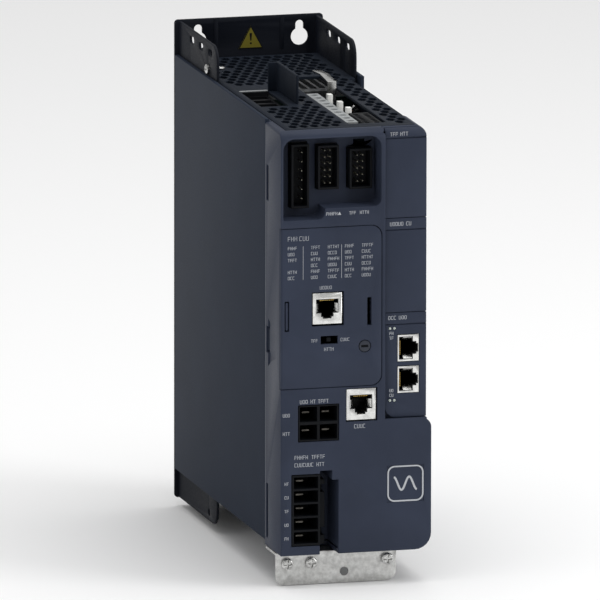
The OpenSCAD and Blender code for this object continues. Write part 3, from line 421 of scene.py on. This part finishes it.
EDGE_MM = {
    "front_shell": 0.35, "control_cover": 0.3, "safety_slot_cover": 0.3, "encoder_slot_cover": 0.3,
    "ethernet_module_face": 0.3, "main_housing": 0.4, "cable_divider": 0.4,
    "mounting_bracket": 0.25, "shield_plate": 0.2, "top_grille": 0.12,
    "hmi_jack_shell": 0.12, "modbus_jack_shell": 0.12, "ethernet_jack_shells": 0.12,
    "hmi_jack_insert": 0.12, "modbus_jack_insert": 0.12, "ethernet_jack_inserts": 0.12,
    "io_header_left": 0.15, "io_header_middle": 0.15, "io_header_right": 0.15,
    "dc_bus_header": 0.2, "motor_header": 0.2, "mains_header": 0.2, "motor_latch_rail": 0.2,
    "polarity_switch_body": 0.2, "polarity_switch_knob": 0.2, "cover_lock_screw": 0.12,
    "top_terminal_block": 0.2, "terminal_markers": 0.2, "top_shield_clip": 0.1,
    "top_connector": 0.2, "fan_frame": 0.25,
}
for node, radius in EDGE_MM.items():
    rounded_copy(node, radius)
for node, solid in frame["nodes"].items():
    solid.data.materials.clear()
    solid.data.materials.append(FINISH[SLOT_OF[node]])
print("rounded copies:", len(EDGE_MM))

# %% [markdown]
# ## Surfaces from numbers
# Every small piece below is a surface worked out with numpy. `turned` spins a profile round an
# axis, `swept` carries a closed outline along a path, and `plates` lays thin printed strokes on a
# flat face. They all return points in millimetres and faces, and `add_piece` makes the object.

# %% Grids, turned and swept surfaces
def grid_faces(rows, columns):
    """Faces of a grid of points whose columns close into a ring."""
    row, column = np.meshgrid(np.arange(rows - 1), np.arange(columns), indexing="ij")
    row, column = row.ravel(), column.ravel()
    beside = (column + 1) % columns
    return np.stack([row * columns + column, row * columns + beside,
                     (row + 1) * columns + beside, (row + 1) * columns + column], axis=1)


def turned(profile, steps=48):
    """A profile spun round Z: point (r, z) at angle a goes to (r cos a, r sin a, z).

    The profile runs from the bottom to the top, and its first and last rings are closed by fans.
    """
    profile = np.asarray(profile, dtype=float)
    angle = np.arange(steps) * (2 * np.pi / steps)
    rings = np.stack([
        np.outer(profile[:, 0], np.cos(angle)),
        np.outer(profile[:, 0], np.sin(angle)),
        np.repeat(profile[:, 1:2], steps, axis=1),
    ], axis=2).reshape(-1, 3)
    ends = np.array([[0.0, 0.0, profile[0, 1]], [0.0, 0.0, profile[-1, 1]]])
    around = np.arange(steps)
    beside = (around + 1) % steps
    last = (len(profile) - 1) * steps
    low_fan = np.stack([np.full(steps, len(rings)), beside, around], axis=1)
    high_fan = np.stack([np.full(steps, len(rings) + 1), last + around, last + beside], axis=1)
    faces = grid_faces(len(profile), steps).tolist() + low_fan.tolist() + high_fan.tolist()
    return np.vstack([rings, ends]), faces


def swept(path, side, lift, outline):
    """An outline carried along a path: point (a, b) of the outline at step i goes to
    path_i + a side_i + b lift_i. The two ends are closed by one face each.
    """
    path, side, lift, outline = (np.asarray(v, dtype=float) for v in (path, side, lift, outline))
    side, lift = np.broadcast_to(side, path.shape), np.broadcast_to(lift, path.shape)
    points = (path[:, None, :] + outline[None, :, :1] * side[:, None, :]
              + outline[None, :, 1:] * lift[:, None, :]).reshape(-1, 3)
    count = len(outline)
    faces = grid_faces(len(path), count).tolist()
    faces.append(list(range(count))[::-1])
    faces.append(list(range(len(points) - count, len(points))))
    return points, faces


def ring_outline(half_a, half_b, count=8):
    """An ellipse of the given half axes as count points."""
    angle = np.arange(count) * (2 * np.pi / count)
    return np.stack([half_a * np.cos(angle), half_b * np.sin(angle)], axis=1)


def strip_outline(half_a, half_b):
    """A rectangle with its corners cut off, as eight points."""
    cut = 0.35 * min(half_a, half_b)
    return np.array([
        [half_a, -half_b + cut], [half_a, half_b - cut],
        [half_a - cut, half_b], [-half_a + cut, half_b],
        [-half_a, half_b - cut], [-half_a, -half_b + cut],
        [-half_a + cut, -half_b], [half_a - cut, -half_b],
    ])


def placed(surface, origin, x_axis=(1, 0, 0), y_axis=(0, 1, 0), z_axis=(0, 0, 1)):
    """A surface turned so that its axes lie along the given ones, then moved to the origin."""
    points, faces = surface
    turn = np.array([x_axis, y_axis, z_axis], dtype=float)
    return points @ turn + np.asarray(origin, dtype=float), faces


def add_piece(name, surfaces, slot, body, replaces=None, smooth=True):
    """One object out of several surfaces given in millimetres, riding on a body."""
    points, faces, start = [], [], 0
    for more_points, more_faces in surfaces:
        points.append(more_points)
        faces.extend([[corner + start for corner in face] for face in more_faces])
        start += len(more_points)
    mesh = bpy.data.meshes.new(name)
    mesh.from_pydata((np.vstack(points) * MM).tolist(), [], faces)
    tidy = bmesh.new()
    tidy.from_mesh(mesh)
    bmesh.ops.recalc_face_normals(tidy, faces=tidy.faces)
    tidy.to_mesh(mesh)
    tidy.free()
    if smooth:
        mesh.shade_smooth()
        mesh.set_sharp_from_angle(angle=math.radians(32))
    mesh.materials.append(FINISH[slot])
    piece = bpy.data.objects.new(name, mesh)
    bpy.context.scene.collection.objects.link(piece)
    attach(piece, body)
    for node in replaces or []:
        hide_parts(node)
    return piece


print("tools ready; a screw-sized ring has", len(turned([(1, 0), (1, 1)])[1]), "faces")

# %% [markdown]
# ## Cross-head screws
# A pan head is a low dome. Its cross recess is a dip that is deepest in the middle, and its four
# arms taper outwards, so the dip's depth falls off with the distance from the two arm lines.

# %% Screws
def cross_screw(head_r, head_h, shank_r, shank_len):
    """A pan-head screw along Z. The head's top is z = h (1 - 0.35 (r / R)^4), lowered inside the
    cross by up to 0.62 h, where the distance to the nearer arm line is under an eighth of the arm.
    """
    reach = np.linspace(1.0, 0.03, 22)
    top = np.stack([head_r * reach, head_h * (1 - 0.35 * reach ** 4)], axis=1)
    under = [(shank_r, -shank_len), (shank_r, 0.0), (head_r * 0.97, 0.0), (head_r, 0.12)]
    profile = np.vstack([under, top])
    points, faces = turned(profile, 72)
    head = points[:, 2] > head_h * 0.6
    x, y = np.abs(points[:, 0]), np.abs(points[:, 1])
    arm, off = np.maximum(x, y), np.minimum(x, y)
    half = head_r * (0.2 - 0.06 * arm / head_r)
    across = np.clip((half - off) / (0.3 * half), 0, 1)
    along = np.clip((0.76 * head_r - arm) / (0.08 * head_r), 0, 1)
    inside = across * along
    points[:, 2] -= np.where(head, inside * 0.62 * head_h, 0.0)
    return points, faces


def centre_of(node):
    """The middle of a node's box, in millimetres."""
    low, high = corners(node)
    return (low + high) / 2


FACE_FRONT = ((1, 0, 0), (0, 0, 1), (0, -1, 0))
FACE_DOWN = ((1, 0, 0), (0, -1, 0), (0, 0, -1))
FACE_LEFT = ((0, -1, 0), (0, 0, 1), (-1, 0, 0))
earth_at = (corners("earth_screw")[0][0] + 2.0, *centre_of("earth_screw")[1:])
add_piece("earth_screw_crosshead",
          [placed(cross_screw(2.8, 1.95, 1.95, 3.4), earth_at, *FACE_LEFT)],
          "screw_zinc", "drive_body", ["earth_screw"])
deck_z = front_high[2]
deck_at = centre_of("deck_screw")
add_piece("deck_screw_crosshead",
          [placed(cross_screw(2.2, 1.55, 1.35, 2.4), (deck_at[0], deck_at[1], deck_z))],
          "screw_zinc", "drive_body", ["deck_screw"])
shield_y = corners("shield_plate")[0][1]
foot_z = front_low[2]
face_screws = (
    (front_low[0] + 6.4, foot_z - 6.5),
    (front_low[0] + 20.1, foot_z - 6.5),
    (front_high[0] - 22.1, foot_z - 6.3),
)
shield_heads = [
    placed(cross_screw(3.2, 1.85, 1.8, 4.9), (x, shield_y, z), *FACE_FRONT) for x, z in face_screws
]
shield_heads += [
    placed(cross_screw(2.8, 1.65, 1.45, 3.8), (x, shield_y + 16, foot_z - 1.8), *FACE_DOWN)
    for x in (-20, 15)
]
add_piece("shield_screw_crossheads", shield_heads, "screw_zinc", "drive_body",
          ["shield_plate_screws"])
print("cross-head screws:", 2 + len(shield_heads))

# %% [markdown]
# ## Fan rotor
# Each blade is an aerofoil loop, thickest a third of the way along, swept outwards from the hub
# while its pitch angle eases from steep to shallow.

# %% Rotor
fan_low, fan_high = corners("fan_rotor")
fan_at = centre_of("fan_frame")
HUB_R, TIP_R, BLADES = 13.5, (fan_high[0] - fan_low[0]) / 2 - 0.2, 7
STATIONS, LOOP = 14, 24
rotor_h = fan_high[2] - fan_low[2]


def fan_blade(first_angle):
    """A blade: loop point (c, t) at radius r turns by c cos(p) / r and rises by c sin(p) + t.

    c runs along the chord, t is the aerofoil's half thickness 0.9 sqrt(s) (1 - s), and the pitch p
    eases from 50 degrees at the hub to 32 at the tip.
    """
    span = np.linspace(0.0, 1.0, STATIONS)[:, None]
    loop = np.linspace(0, 2 * np.pi, LOOP + 1)[:-1][None, :]
    along = 0.5 - 0.5 * np.cos(loop)
    thick = np.sign(np.sin(loop)) * 2.4 * np.sqrt(along) * (1 - along) * 0.75
    radius = HUB_R - 0.8 + span * (TIP_R - HUB_R + 0.8)
    pitch = np.radians(50 - 18 * span)
    chord = (along - 0.5) * (13.0 + 3.0 * span)
    turn = first_angle + chord * np.cos(pitch) / radius + 0.25 * span ** 2
    rise = chord * np.sin(pitch) + thick * np.cos(pitch)
    rise = np.clip(rise, -rotor_h / 2 + 0.1, rotor_h / 2 - 0.1)
    points = np.stack([radius * np.cos(turn), radius * np.sin(turn), rise + rotor_h / 2], axis=2)
    points = points.reshape(-1, 3)
    faces = grid_faces(STATIONS, LOOP).tolist()
    faces.append(list(range(LOOP))[::-1])
    faces.append(list(range((STATIONS - 1) * LOOP, STATIONS * LOOP)))
    return points, faces


hub = turned([
    (HUB_R - 0.8, 0.0), (HUB_R, 0.8), (HUB_R, rotor_h - 1.2), (HUB_R - 0.5, rotor_h - 0.4),
    (HUB_R - 1.4, rotor_h - 0.05), (9.0, rotor_h - 0.05), (8.6, rotor_h - 0.35),
    (0.5, rotor_h - 0.35),
], 64)
rotor = [hub] + [fan_blade(2 * math.pi * i / BLADES) for i in range(BLADES)]
add_piece("fan_rotor_moulded", [placed(part, (fan_at[0], fan_at[1], fan_low[2])) for part in rotor],
          "fan_black", "fan_rotor", ["fan_rotor"])
print("rotor:", BLADES, "blades out to", round(TIP_R, 1), "mm")

# %% [markdown]
# ## Capacitors and the choke
# A capacitor can has a rolled groove near its foot and a pressed rim at its end. The choke is a
# ring wound with wire: the wire's centre line goes round the ring's section many times while it
# goes round the ring once.

# %% Capacitors
board_y = corners("power_board")[0][1]
can_profile = np.array([
    (13.4, 0.0), (14.0, 0.6), (14.0, 4.2), (13.4, 4.9), (13.2, 5.5), (13.4, 6.1), (14.0, 6.8),
    (14.0, 46.8), (13.7, 47.5), (13.0, 47.9), (12.4, 47.9), (12.1, 47.5), (11.8, 47.4), (0.4, 47.4),
])
cans = [
    placed(turned(can_profile, 56), (x, board_y, z), *FACE_FRONT)
    for x in (-18, 14) for z in (14, 46)
]
add_piece("dc_capacitor_cans", cans, "capacitor_sleeve", "drive_body", ["dc_capacitors"])

# %% Choke
CORE_R, COIL_R, WIRE_R, TURNS = 10.0, 3.95, 0.62, 30
choke_at = np.array([15.0, board_y - 5, deck_z - 35])
step = np.linspace(0, 2 * np.pi * 0.94, 720)[:, None]
section = TURNS * step
outward = np.hstack([np.cos(step), 0 * step, np.sin(step)])
axis = np.array([[0.0, 1.0, 0.0]])
wire_path = choke_at + outward * (CORE_R + COIL_R * np.cos(section))
wire_path = wire_path + axis * COIL_R * np.sin(section)
wire_out = outward * np.cos(section) + axis * np.sin(section)
along_wire = np.gradient(wire_path, axis=0)
along_wire /= np.linalg.norm(along_wire, axis=1, keepdims=True)
wire = swept(wire_path, np.cross(along_wire, wire_out), wire_out, ring_outline(WIRE_R, WIRE_R, 7))
core_section = ring_outline(3.3, 3.3, 24)
core_step = np.linspace(0, 2 * np.pi, 65)[:, None]
core_out = np.hstack([np.cos(core_step), 0 * core_step, np.sin(core_step)])
core = swept(choke_at + CORE_R * core_out, core_out, axis, core_section)
foot_block = swept([[3, board_y - 0.6, deck_z - 35], [8, board_y - 0.6, deck_z - 35]],
                   (0, 1, 0), (0, 0, 1), strip_outline(0.6, 2.0))
add_piece("emc_choke_wound", [wire, core, foot_block], "copper_winding", "drive_body",
          ["emc_choke"])
print("choke wire of", TURNS, "turns")

# %% [markdown]
# ## Pins, jack springs and light domes
# Header pins are square and end in a blunt point. Jack springs are eight flat wires that bend back
# from the mouth, with bright side springs that press on the plug's shield.

# %% Header pins
def square_pin(x, z, y_front, y_back, half):
    """A square pin along Y: its half width is constant and shrinks over the last 0.7 mm."""
    y = np.array([y_back, y_front + 0.7, y_front + 0.2, y_front])
    width = np.array([half, half, 0.62 * half, 0.4 * half])
    corner = np.array([[-1, -1], [1, -1], [1, 1], [-1, 1]], dtype=float)
    points = np.stack([
        x + width[:, None] * corner[None, :, 0], np.repeat(y[:, None], 4, axis=1),
        z + width[:, None] * corner[None, :, 1],
    ], axis=2).reshape(-1, 3)
    return points, grid_faces(4, 4).tolist() + [[0, 1, 2, 3], [12, 13, 14, 15]]


pins = []
for node, rows, first, pitch, spread in (
    ("io_header_left", 6, 5.0, 5.08, (1.5,)),
    ("io_header_middle", 6, 3.2, 3.6, (-1.5, 1.5)),
    ("io_header_right", 5, 3.8, 3.6, (-1.5, 1.5)),
):
    low, high = corners(node)
    for i in range(rows):
        for across in spread:
            x, z = (low[0] + high[0]) / 2 + across, low[2] + first + pitch * i
            pins.append(square_pin(x, z, low[1] + 2.5, low[1] + 9.6, 0.35))
add_piece("io_header_pins_pointed", pins, "pin_metal", "drive_body", ["io_header_pins"],
          smooth=False)
print("pins:", len(pins))

# %% Jack springs
def jack_parts(origin, x_axis, z_axis):
    """Eight springs and two shield springs of one jack, whose mouth is at its origin and faces -Y.

    A spring's height is 4.3 - 3.1 s^1.5 with s running from the mouth to its free end.
    """
    s = np.linspace(0, 1, 14)
    wires = []
    for i in range(8):
        x = -3.57 + 1.02 * i
        path = np.stack([np.full(14, x), 1.4 + 9.0 * s, 4.3 - 3.1 * s ** 1.5], axis=1)
        wires.append(placed(swept(path, (1, 0, 0), (0, 0, 1), strip_outline(0.27, 0.14)),
                            origin, x_axis, (0, 1, 0), z_axis))
    guards = []
    for sign in (-1, 1):
        bow = sign * (5.85 - 1.9 * np.sin(np.pi * s))
        path = np.stack([bow, 0.4 + 7.0 * s, np.full(14, 0.3)], axis=1)
        guards.append(placed(swept(path, (1, 0, 0), (0, 0, 1), strip_outline(0.1, 2.4)),
                             origin, x_axis, (0, 1, 0), z_axis))
    return wires, guards


springs, guards = [], []
for node in ("hmi_jack_shell", "modbus_jack_shell"):
    low, high = corners(node)
    mouth = ((low[0] + high[0]) / 2, low[1], (low[2] + high[2]) / 2)
    parts = jack_parts(mouth, (1, 0, 0), (0, 0, 1))
    springs += parts[0]
    guards += parts[1]
low, high = corners("ethernet_jack_shells")
jack_tall = 14.7
for z in (low[2] + jack_tall / 2, high[2] - jack_tall / 2):
    parts = jack_parts(((low[0] + high[0]) / 2, low[1], z), (0, 0, 1), (-1, 0, 0))
    springs += parts[0]
    guards += parts[1]
add_piece("jack_springs", springs, "contact_gold", "drive_body", ["jack_contacts"])
add_piece("jack_shield_springs", guards, "jack_metal", "drive_body")

# %% Light domes and terminal screws
pipe_low, pipe_high = corners("light_pipes")
dome = np.array([(0.7, 0.0), (0.7, 0.3), (0.62, 0.5), (0.45, 0.64), (0.22, 0.72), (0.05, 0.74)])
domes = [
    placed(turned(dome, 24), (x, pipe_low[1] + 0.25, z), *FACE_FRONT)
    for x in (pipe_low[0] + 0.75, pipe_high[0] - 0.75)
    for z in (pipe_low[2] + 0.75, pipe_high[2] - 0.75)
]
add_piece("led_domes", domes, "light_pipe", "drive_body")
block_low, block_high = corners("top_terminal_block")
TERMINALS = 10
slotted = []
for i in range(TERMINALS):
    head_top = [(1.6 * r, 1.2) for r in np.linspace(1, 0.05, 12)]
    points, faces = turned([(1.9, 0.0), (1.9, 0.9), (1.75, 1.15)] + head_top, 40)
    in_slot = (np.abs(points[:, 1]) < 0.32) & (points[:, 2] > 1.0)
    points[:, 2] -= np.where(in_slot, 0.6, 0.0)
    y = block_low[1] + (i + 0.5) * (block_high[1] - block_low[1]) / TERMINALS
    slotted.append(placed((points, faces), (4.5, y, deck_z - 8.0)))
add_piece("terminal_screws", slotted, "screw_zinc", "drive_body")
print("springs:", len(springs), "domes:", len(domes), "terminal screws:", len(slotted))

# %% Clip tongue of the cover
tongue_path = np.array([[-39.1, front_low[1] + 1.1, z] for z in (4.3, 4.9, 19.3, 19.8)])
tongue_side = np.array([[0.4, 0, 0], [1.0, 0, 0], [1.0, 0, 0], [0.4, 0, 0]])
tongue = swept(tongue_path, tongue_side, (0, 1, 0), strip_outline(0.75, 0.7))
add_piece("cover_clip_tongue", [tongue], "front_plastic", "control_cover")

# %% Small fittings of the lock, the plate and the mains recess
lock_low, lock_high = corners("cover_lock_screw")
lock_x, lock_z = (lock_low[0] + lock_high[0]) / 2, (lock_low[2] + lock_high[2]) / 2
slot_y = lock_low[1] + 0.72
# A thin black strip at the floor of the lock screw's slot: painted shade deep in the slot.
slot_painted_shade = swept([[lock_x - 1.85, slot_y, lock_z], [lock_x + 1.85, slot_y, lock_z]],
                   (0, 1, 0), (0, 0, 1), strip_outline(0.12, 0.58))
add_piece("lock_slot_painted_shade", [slot_painted_shade], "header_black", "cover_lock")
crease_z = np.linspace(deck_z + 2.0, plate_top - 0.6, 12)
creases = []
for x in (-18.9, 18.9):
    lift = 0.55 * np.sin(np.pi * np.linspace(0.12, 0.88, 12))
    path = np.stack([np.full(12, x), np.full(12, -1.5), crease_z], axis=1)
    outward_lift = np.stack([0 * lift, -lift, 0 * lift], axis=1)
    creases.append(swept(path, (1, 0, 0), outward_lift, ring_outline(1.3, 1.0, 16)))
add_piece("plate_creases", creases, "bracket_coat", "drive_body")

rail = swept([[x, -111.0, deck_z] for x in (-34.2, -33.6, -18.6, -18.2)],
             [[0, 0.6, 0], [0, 1, 0], [0, 1, 0], [0, 0.6, 0]], (0, 0, 1), strip_outline(0.9, 0.45))
add_piece("mains_recess_rail", [rail], "terminal_grey", "drive_body")
print("creases:", len(creases))

# %% [markdown]
# ## Printed marks
# Legends are screen printed: strokes a few tenths of a millimetre wide and almost without height.
# They are generic stroke groups in the places where such a drive carries its legends. A glyph is
# a few strokes on a two-by-three grid, and a word is a row of glyphs picked in turn from a short
# list.

# %% Strokes
PRINT_T = 0.006
GLYPHS = (
    ((0, 0, 0, 1), (0, 1, 1, 1), (0, 0.5, 1, 0.5)), ((0, 0, 0, 1), (0, 0, 1, 0), (1, 0, 1, 1)),
    ((0.5, 0, 0.5, 1), (0, 1, 1, 1)), ((0, 0, 0, 1), (0, 0, 1, 0), (0, 1, 1, 1)),
    ((0, 0, 0, 1), (1, 0, 1, 1), (0, 0.5, 1, 0.5)),
    ((0, 0, 1, 0), (1, 0, 1, 1), (0, 1, 1, 1), (0, 0, 0, 1)),
)


def word(x, z, count, height=1.7, seed=0):
    """The strokes of a word: rows of x0, z0, x1, z1 that start at x, z."""
    wide, gap = 0.52 * height, 0.3 * height
    rows = []
    for i in range(count):
        for a, b, c, d in GLYPHS[(seed + 3 * i + i * i) % len(GLYPHS)]:
            x0 = x + i * (wide + gap)
            rows.append((x0 + a * wide, z + b * height, x0 + c * wide, z + d * height))
    return rows


def words(rows):
    """The strokes of several words, each given as x, z, count, height and seed."""
    strokes = []
    for row in rows:
        strokes += word(*row)
    return strokes


def plates(strokes, y, weight=0.2):
    """Thin boxes in front of the plane y: each stroke is widened by half its weight all round."""
    strokes = np.asarray(strokes, dtype=float)
    half = weight / 2
    x0, x1 = strokes[:, 0] - half, strokes[:, 2] + half
    z0, z1 = strokes[:, 1] - half, strokes[:, 3] + half
    ys = np.array([y - PRINT_T, y + PRINT_T])
    box = [(x, k, z) for k in (0, 1) for x, z in ((x0, z0), (x1, z0), (x1, z1), (x0, z1))]
    sides = [np.stack([px, np.full(len(x0), ys[k]), pz], axis=1) for px, k, pz in box]
    points = np.stack(sides, axis=1)
    faces = np.array([
        [0, 1, 2, 3], [4, 7, 6, 5], [0, 4, 5, 1], [1, 5, 6, 2], [2, 6, 7, 3], [3, 7, 4, 0],
    ])
    faces = (faces[None, :, :] + 8 * np.arange(len(x0))[:, None, None]).reshape(-1, 4)
    return points.reshape(-1, 3), faces.tolist()


def prism(outline, y, thick=PRINT_T):
    """A flat outline in X and Z as a thin closed plate in front of the plane y."""
    return swept([[0, y + thick, 0], [0, y - thick, 0]], (1, 0, 0), (0, 0, 1), outline)


# %% Legends of the front and of the cover
front_y, column_y = front_low[1], corners("safety_slot_cover")[0][1]
cover_marks = word(-38.5, 53.9, 3, 2.3) + word(-32.0, 53.9, 3, 2.3, 3)
cover_marks += [(-30.0, 32.3, -30.0, 50.7), (-8.4, 32.3, -8.4, 50.7)]
COVER_COLUMNS = ((-38.5, 4), (-25.5, 4), (-16.0, 5), (-6.4, 4), (3.1, 5))
for column, (x, count) in enumerate(COVER_COLUMNS):
    for row in range(6):
        if column == 0 and row == 3:
            continue
        cover_marks += word(x, 49.0 - 3.3 * row, count - (row % 2), 1.6, row + 2 * column)
cover_marks += word(-20.5, 26.4, 5, 1.7, 1) + word(-25.4, -2.8, 3, 1.6, 2)
cover_marks += word(-8.8, -2.8, 4, 1.6, 3) + word(-18.0, -7.8, 4, 1.7, 4)
add_piece("cover_legends", [plates(cover_marks, front_y, 0.19)], "badge_ring", "control_cover",
          smooth=False)
front_marks = words((
    (-17.0, 67.2, 5, 1.6), (-4.0, 67.2, 3, 1.6, 2), (2.0, 67.2, 4, 1.6, 4),
    (-1.0, -51.6, 4, 2.0, 3), (-31.6, -36.6, 3, 1.9, 1), (-25.6, -36.6, 2, 1.9, 4),
    (-21.4, -36.6, 4, 1.9, 2), (-41.2, -43.6, 3, 1.7, 1), (-41.2, -53.8, 3, 1.7, 4),
    (-34.6, -67.4, 5, 1.9), (-25.0, -67.4, 5, 1.9, 2), (-34.6, -71.6, 7, 1.9, 3),
    (-22.2, -71.6, 3, 1.9, 4),
))
POLE_PITCH = 7.62
for pole in range(5):
    front_marks += word(-40.2, -96.8 + (pole - 2) * POLE_PITCH, 2, 1.5, pole)
arrow = prism(np.array([[-10.6, 67.2], [-8.6, 67.2], [-9.6, 68.9]]), front_y)
add_piece("front_legends", [plates(front_marks, front_y, 0.24), arrow], "badge_ring",
          "drive_body", smooth=False)
safety_marks = word(19.5, 109.0, 3, 1.9, 2) + word(25.2, 109.0, 3, 1.9, 4)
add_piece("safety_legends", [plates(safety_marks, column_y, 0.26)], "badge_ring",
          "safety_cover", smooth=False)
encoder_marks = word(19.5, 59.2, 5, 1.9, 1) + word(28.6, 59.2, 2, 1.9, 3)
add_piece("encoder_legends", [plates(encoder_marks, column_y, 0.26)], "badge_ring",
          "encoder_cover", smooth=False)
module_marks = words((
    (18.6, 7.2, 3, 1.9, 5), (24.6, 7.2, 3, 1.9, 1), (19.3, -1.2, 2, 1.5), (19.3, -3.8, 2, 1.5, 2),
    (19.3, -35.6, 2, 1.5, 3), (19.3, -33.0, 2, 1.5, 1),
))
add_piece("module_legends", [plates(module_marks, column_y, 0.24)], "badge_ring", "drive_body",
          smooth=False)
print("strokes:", len(cover_marks) + len(front_marks) + len(module_marks))

# %% Badge icon and warning triangle
badge_low, badge_high = corners("badge")
icon_x, icon_z = (badge_low[0] + badge_high[0]) / 2, (badge_low[2] + badge_high[2]) / 2
wave = np.linspace(-1, 1, 41)
wave_z = icon_z + 3.6 * np.sin(1.5 * np.pi * wave)
wave_path = np.stack([icon_x + 6.5 * wave, np.full(41, badge_low[1] + 0.36), wave_z], axis=1)
wave_run = np.gradient(wave_path, axis=0)
wave_run /= np.linalg.norm(wave_run, axis=1, keepdims=True)
wave_side = np.cross(wave_run, [0, 1, 0])
add_piece("badge_wave", [swept(wave_path, wave_side, (0, 1, 0), strip_outline(0.55, 0.06))],
          "badge_ring", "drive_body", smooth=False)
label_low, label_high = corners("warning_label")
mid_x, base_z, top_z = (label_low[0] + label_high[0]) / 2, label_low[2], label_high[2]
outer = np.array([[label_low[0], base_z], [label_high[0], base_z], [mid_x, top_z]])
heart = outer.mean(axis=0)


def border(outline, share, y, thick):
    """A frame between an outline and its copy shrunk towards its middle by the share given."""
    inner = heart + (outline - heart) * share
    loops = np.vstack([
        np.insert(loop, 1, y + dy, axis=1) for dy in (-thick, thick) for loop in (outline, inner)
    ])
    n = len(outline)
    faces = []
    for k in range(n):
        j = (k + 1) % n
        faces += [[k, j, n + j, n + k], [2 * n + k, 3 * n + k, 3 * n + j, 2 * n + j],
                  [k, 2 * n + k, 2 * n + j, j], [n + k, n + j, 3 * n + j, 3 * n + k]]
    return loops, faces


mark_y = label_low[1] - 0.01
mark_bar = prism(np.array([
    [mid_x - 0.75, base_z + 8.6], [mid_x - 0.35, base_z + 4.4],
    [mid_x + 0.35, base_z + 4.4], [mid_x + 0.75, base_z + 8.6],
]), mark_y)
mark_dot = prism(ring_outline(0.6, 0.6, 16) + np.array([mid_x, base_z + 2.9]), mark_y)
add_piece("warning_marks", [border(outer, 0.88, mark_y, 0.02), mark_bar, mark_dot],
          "header_black", "drive_body", smooth=False)
print("badge icon and triangle marks made")
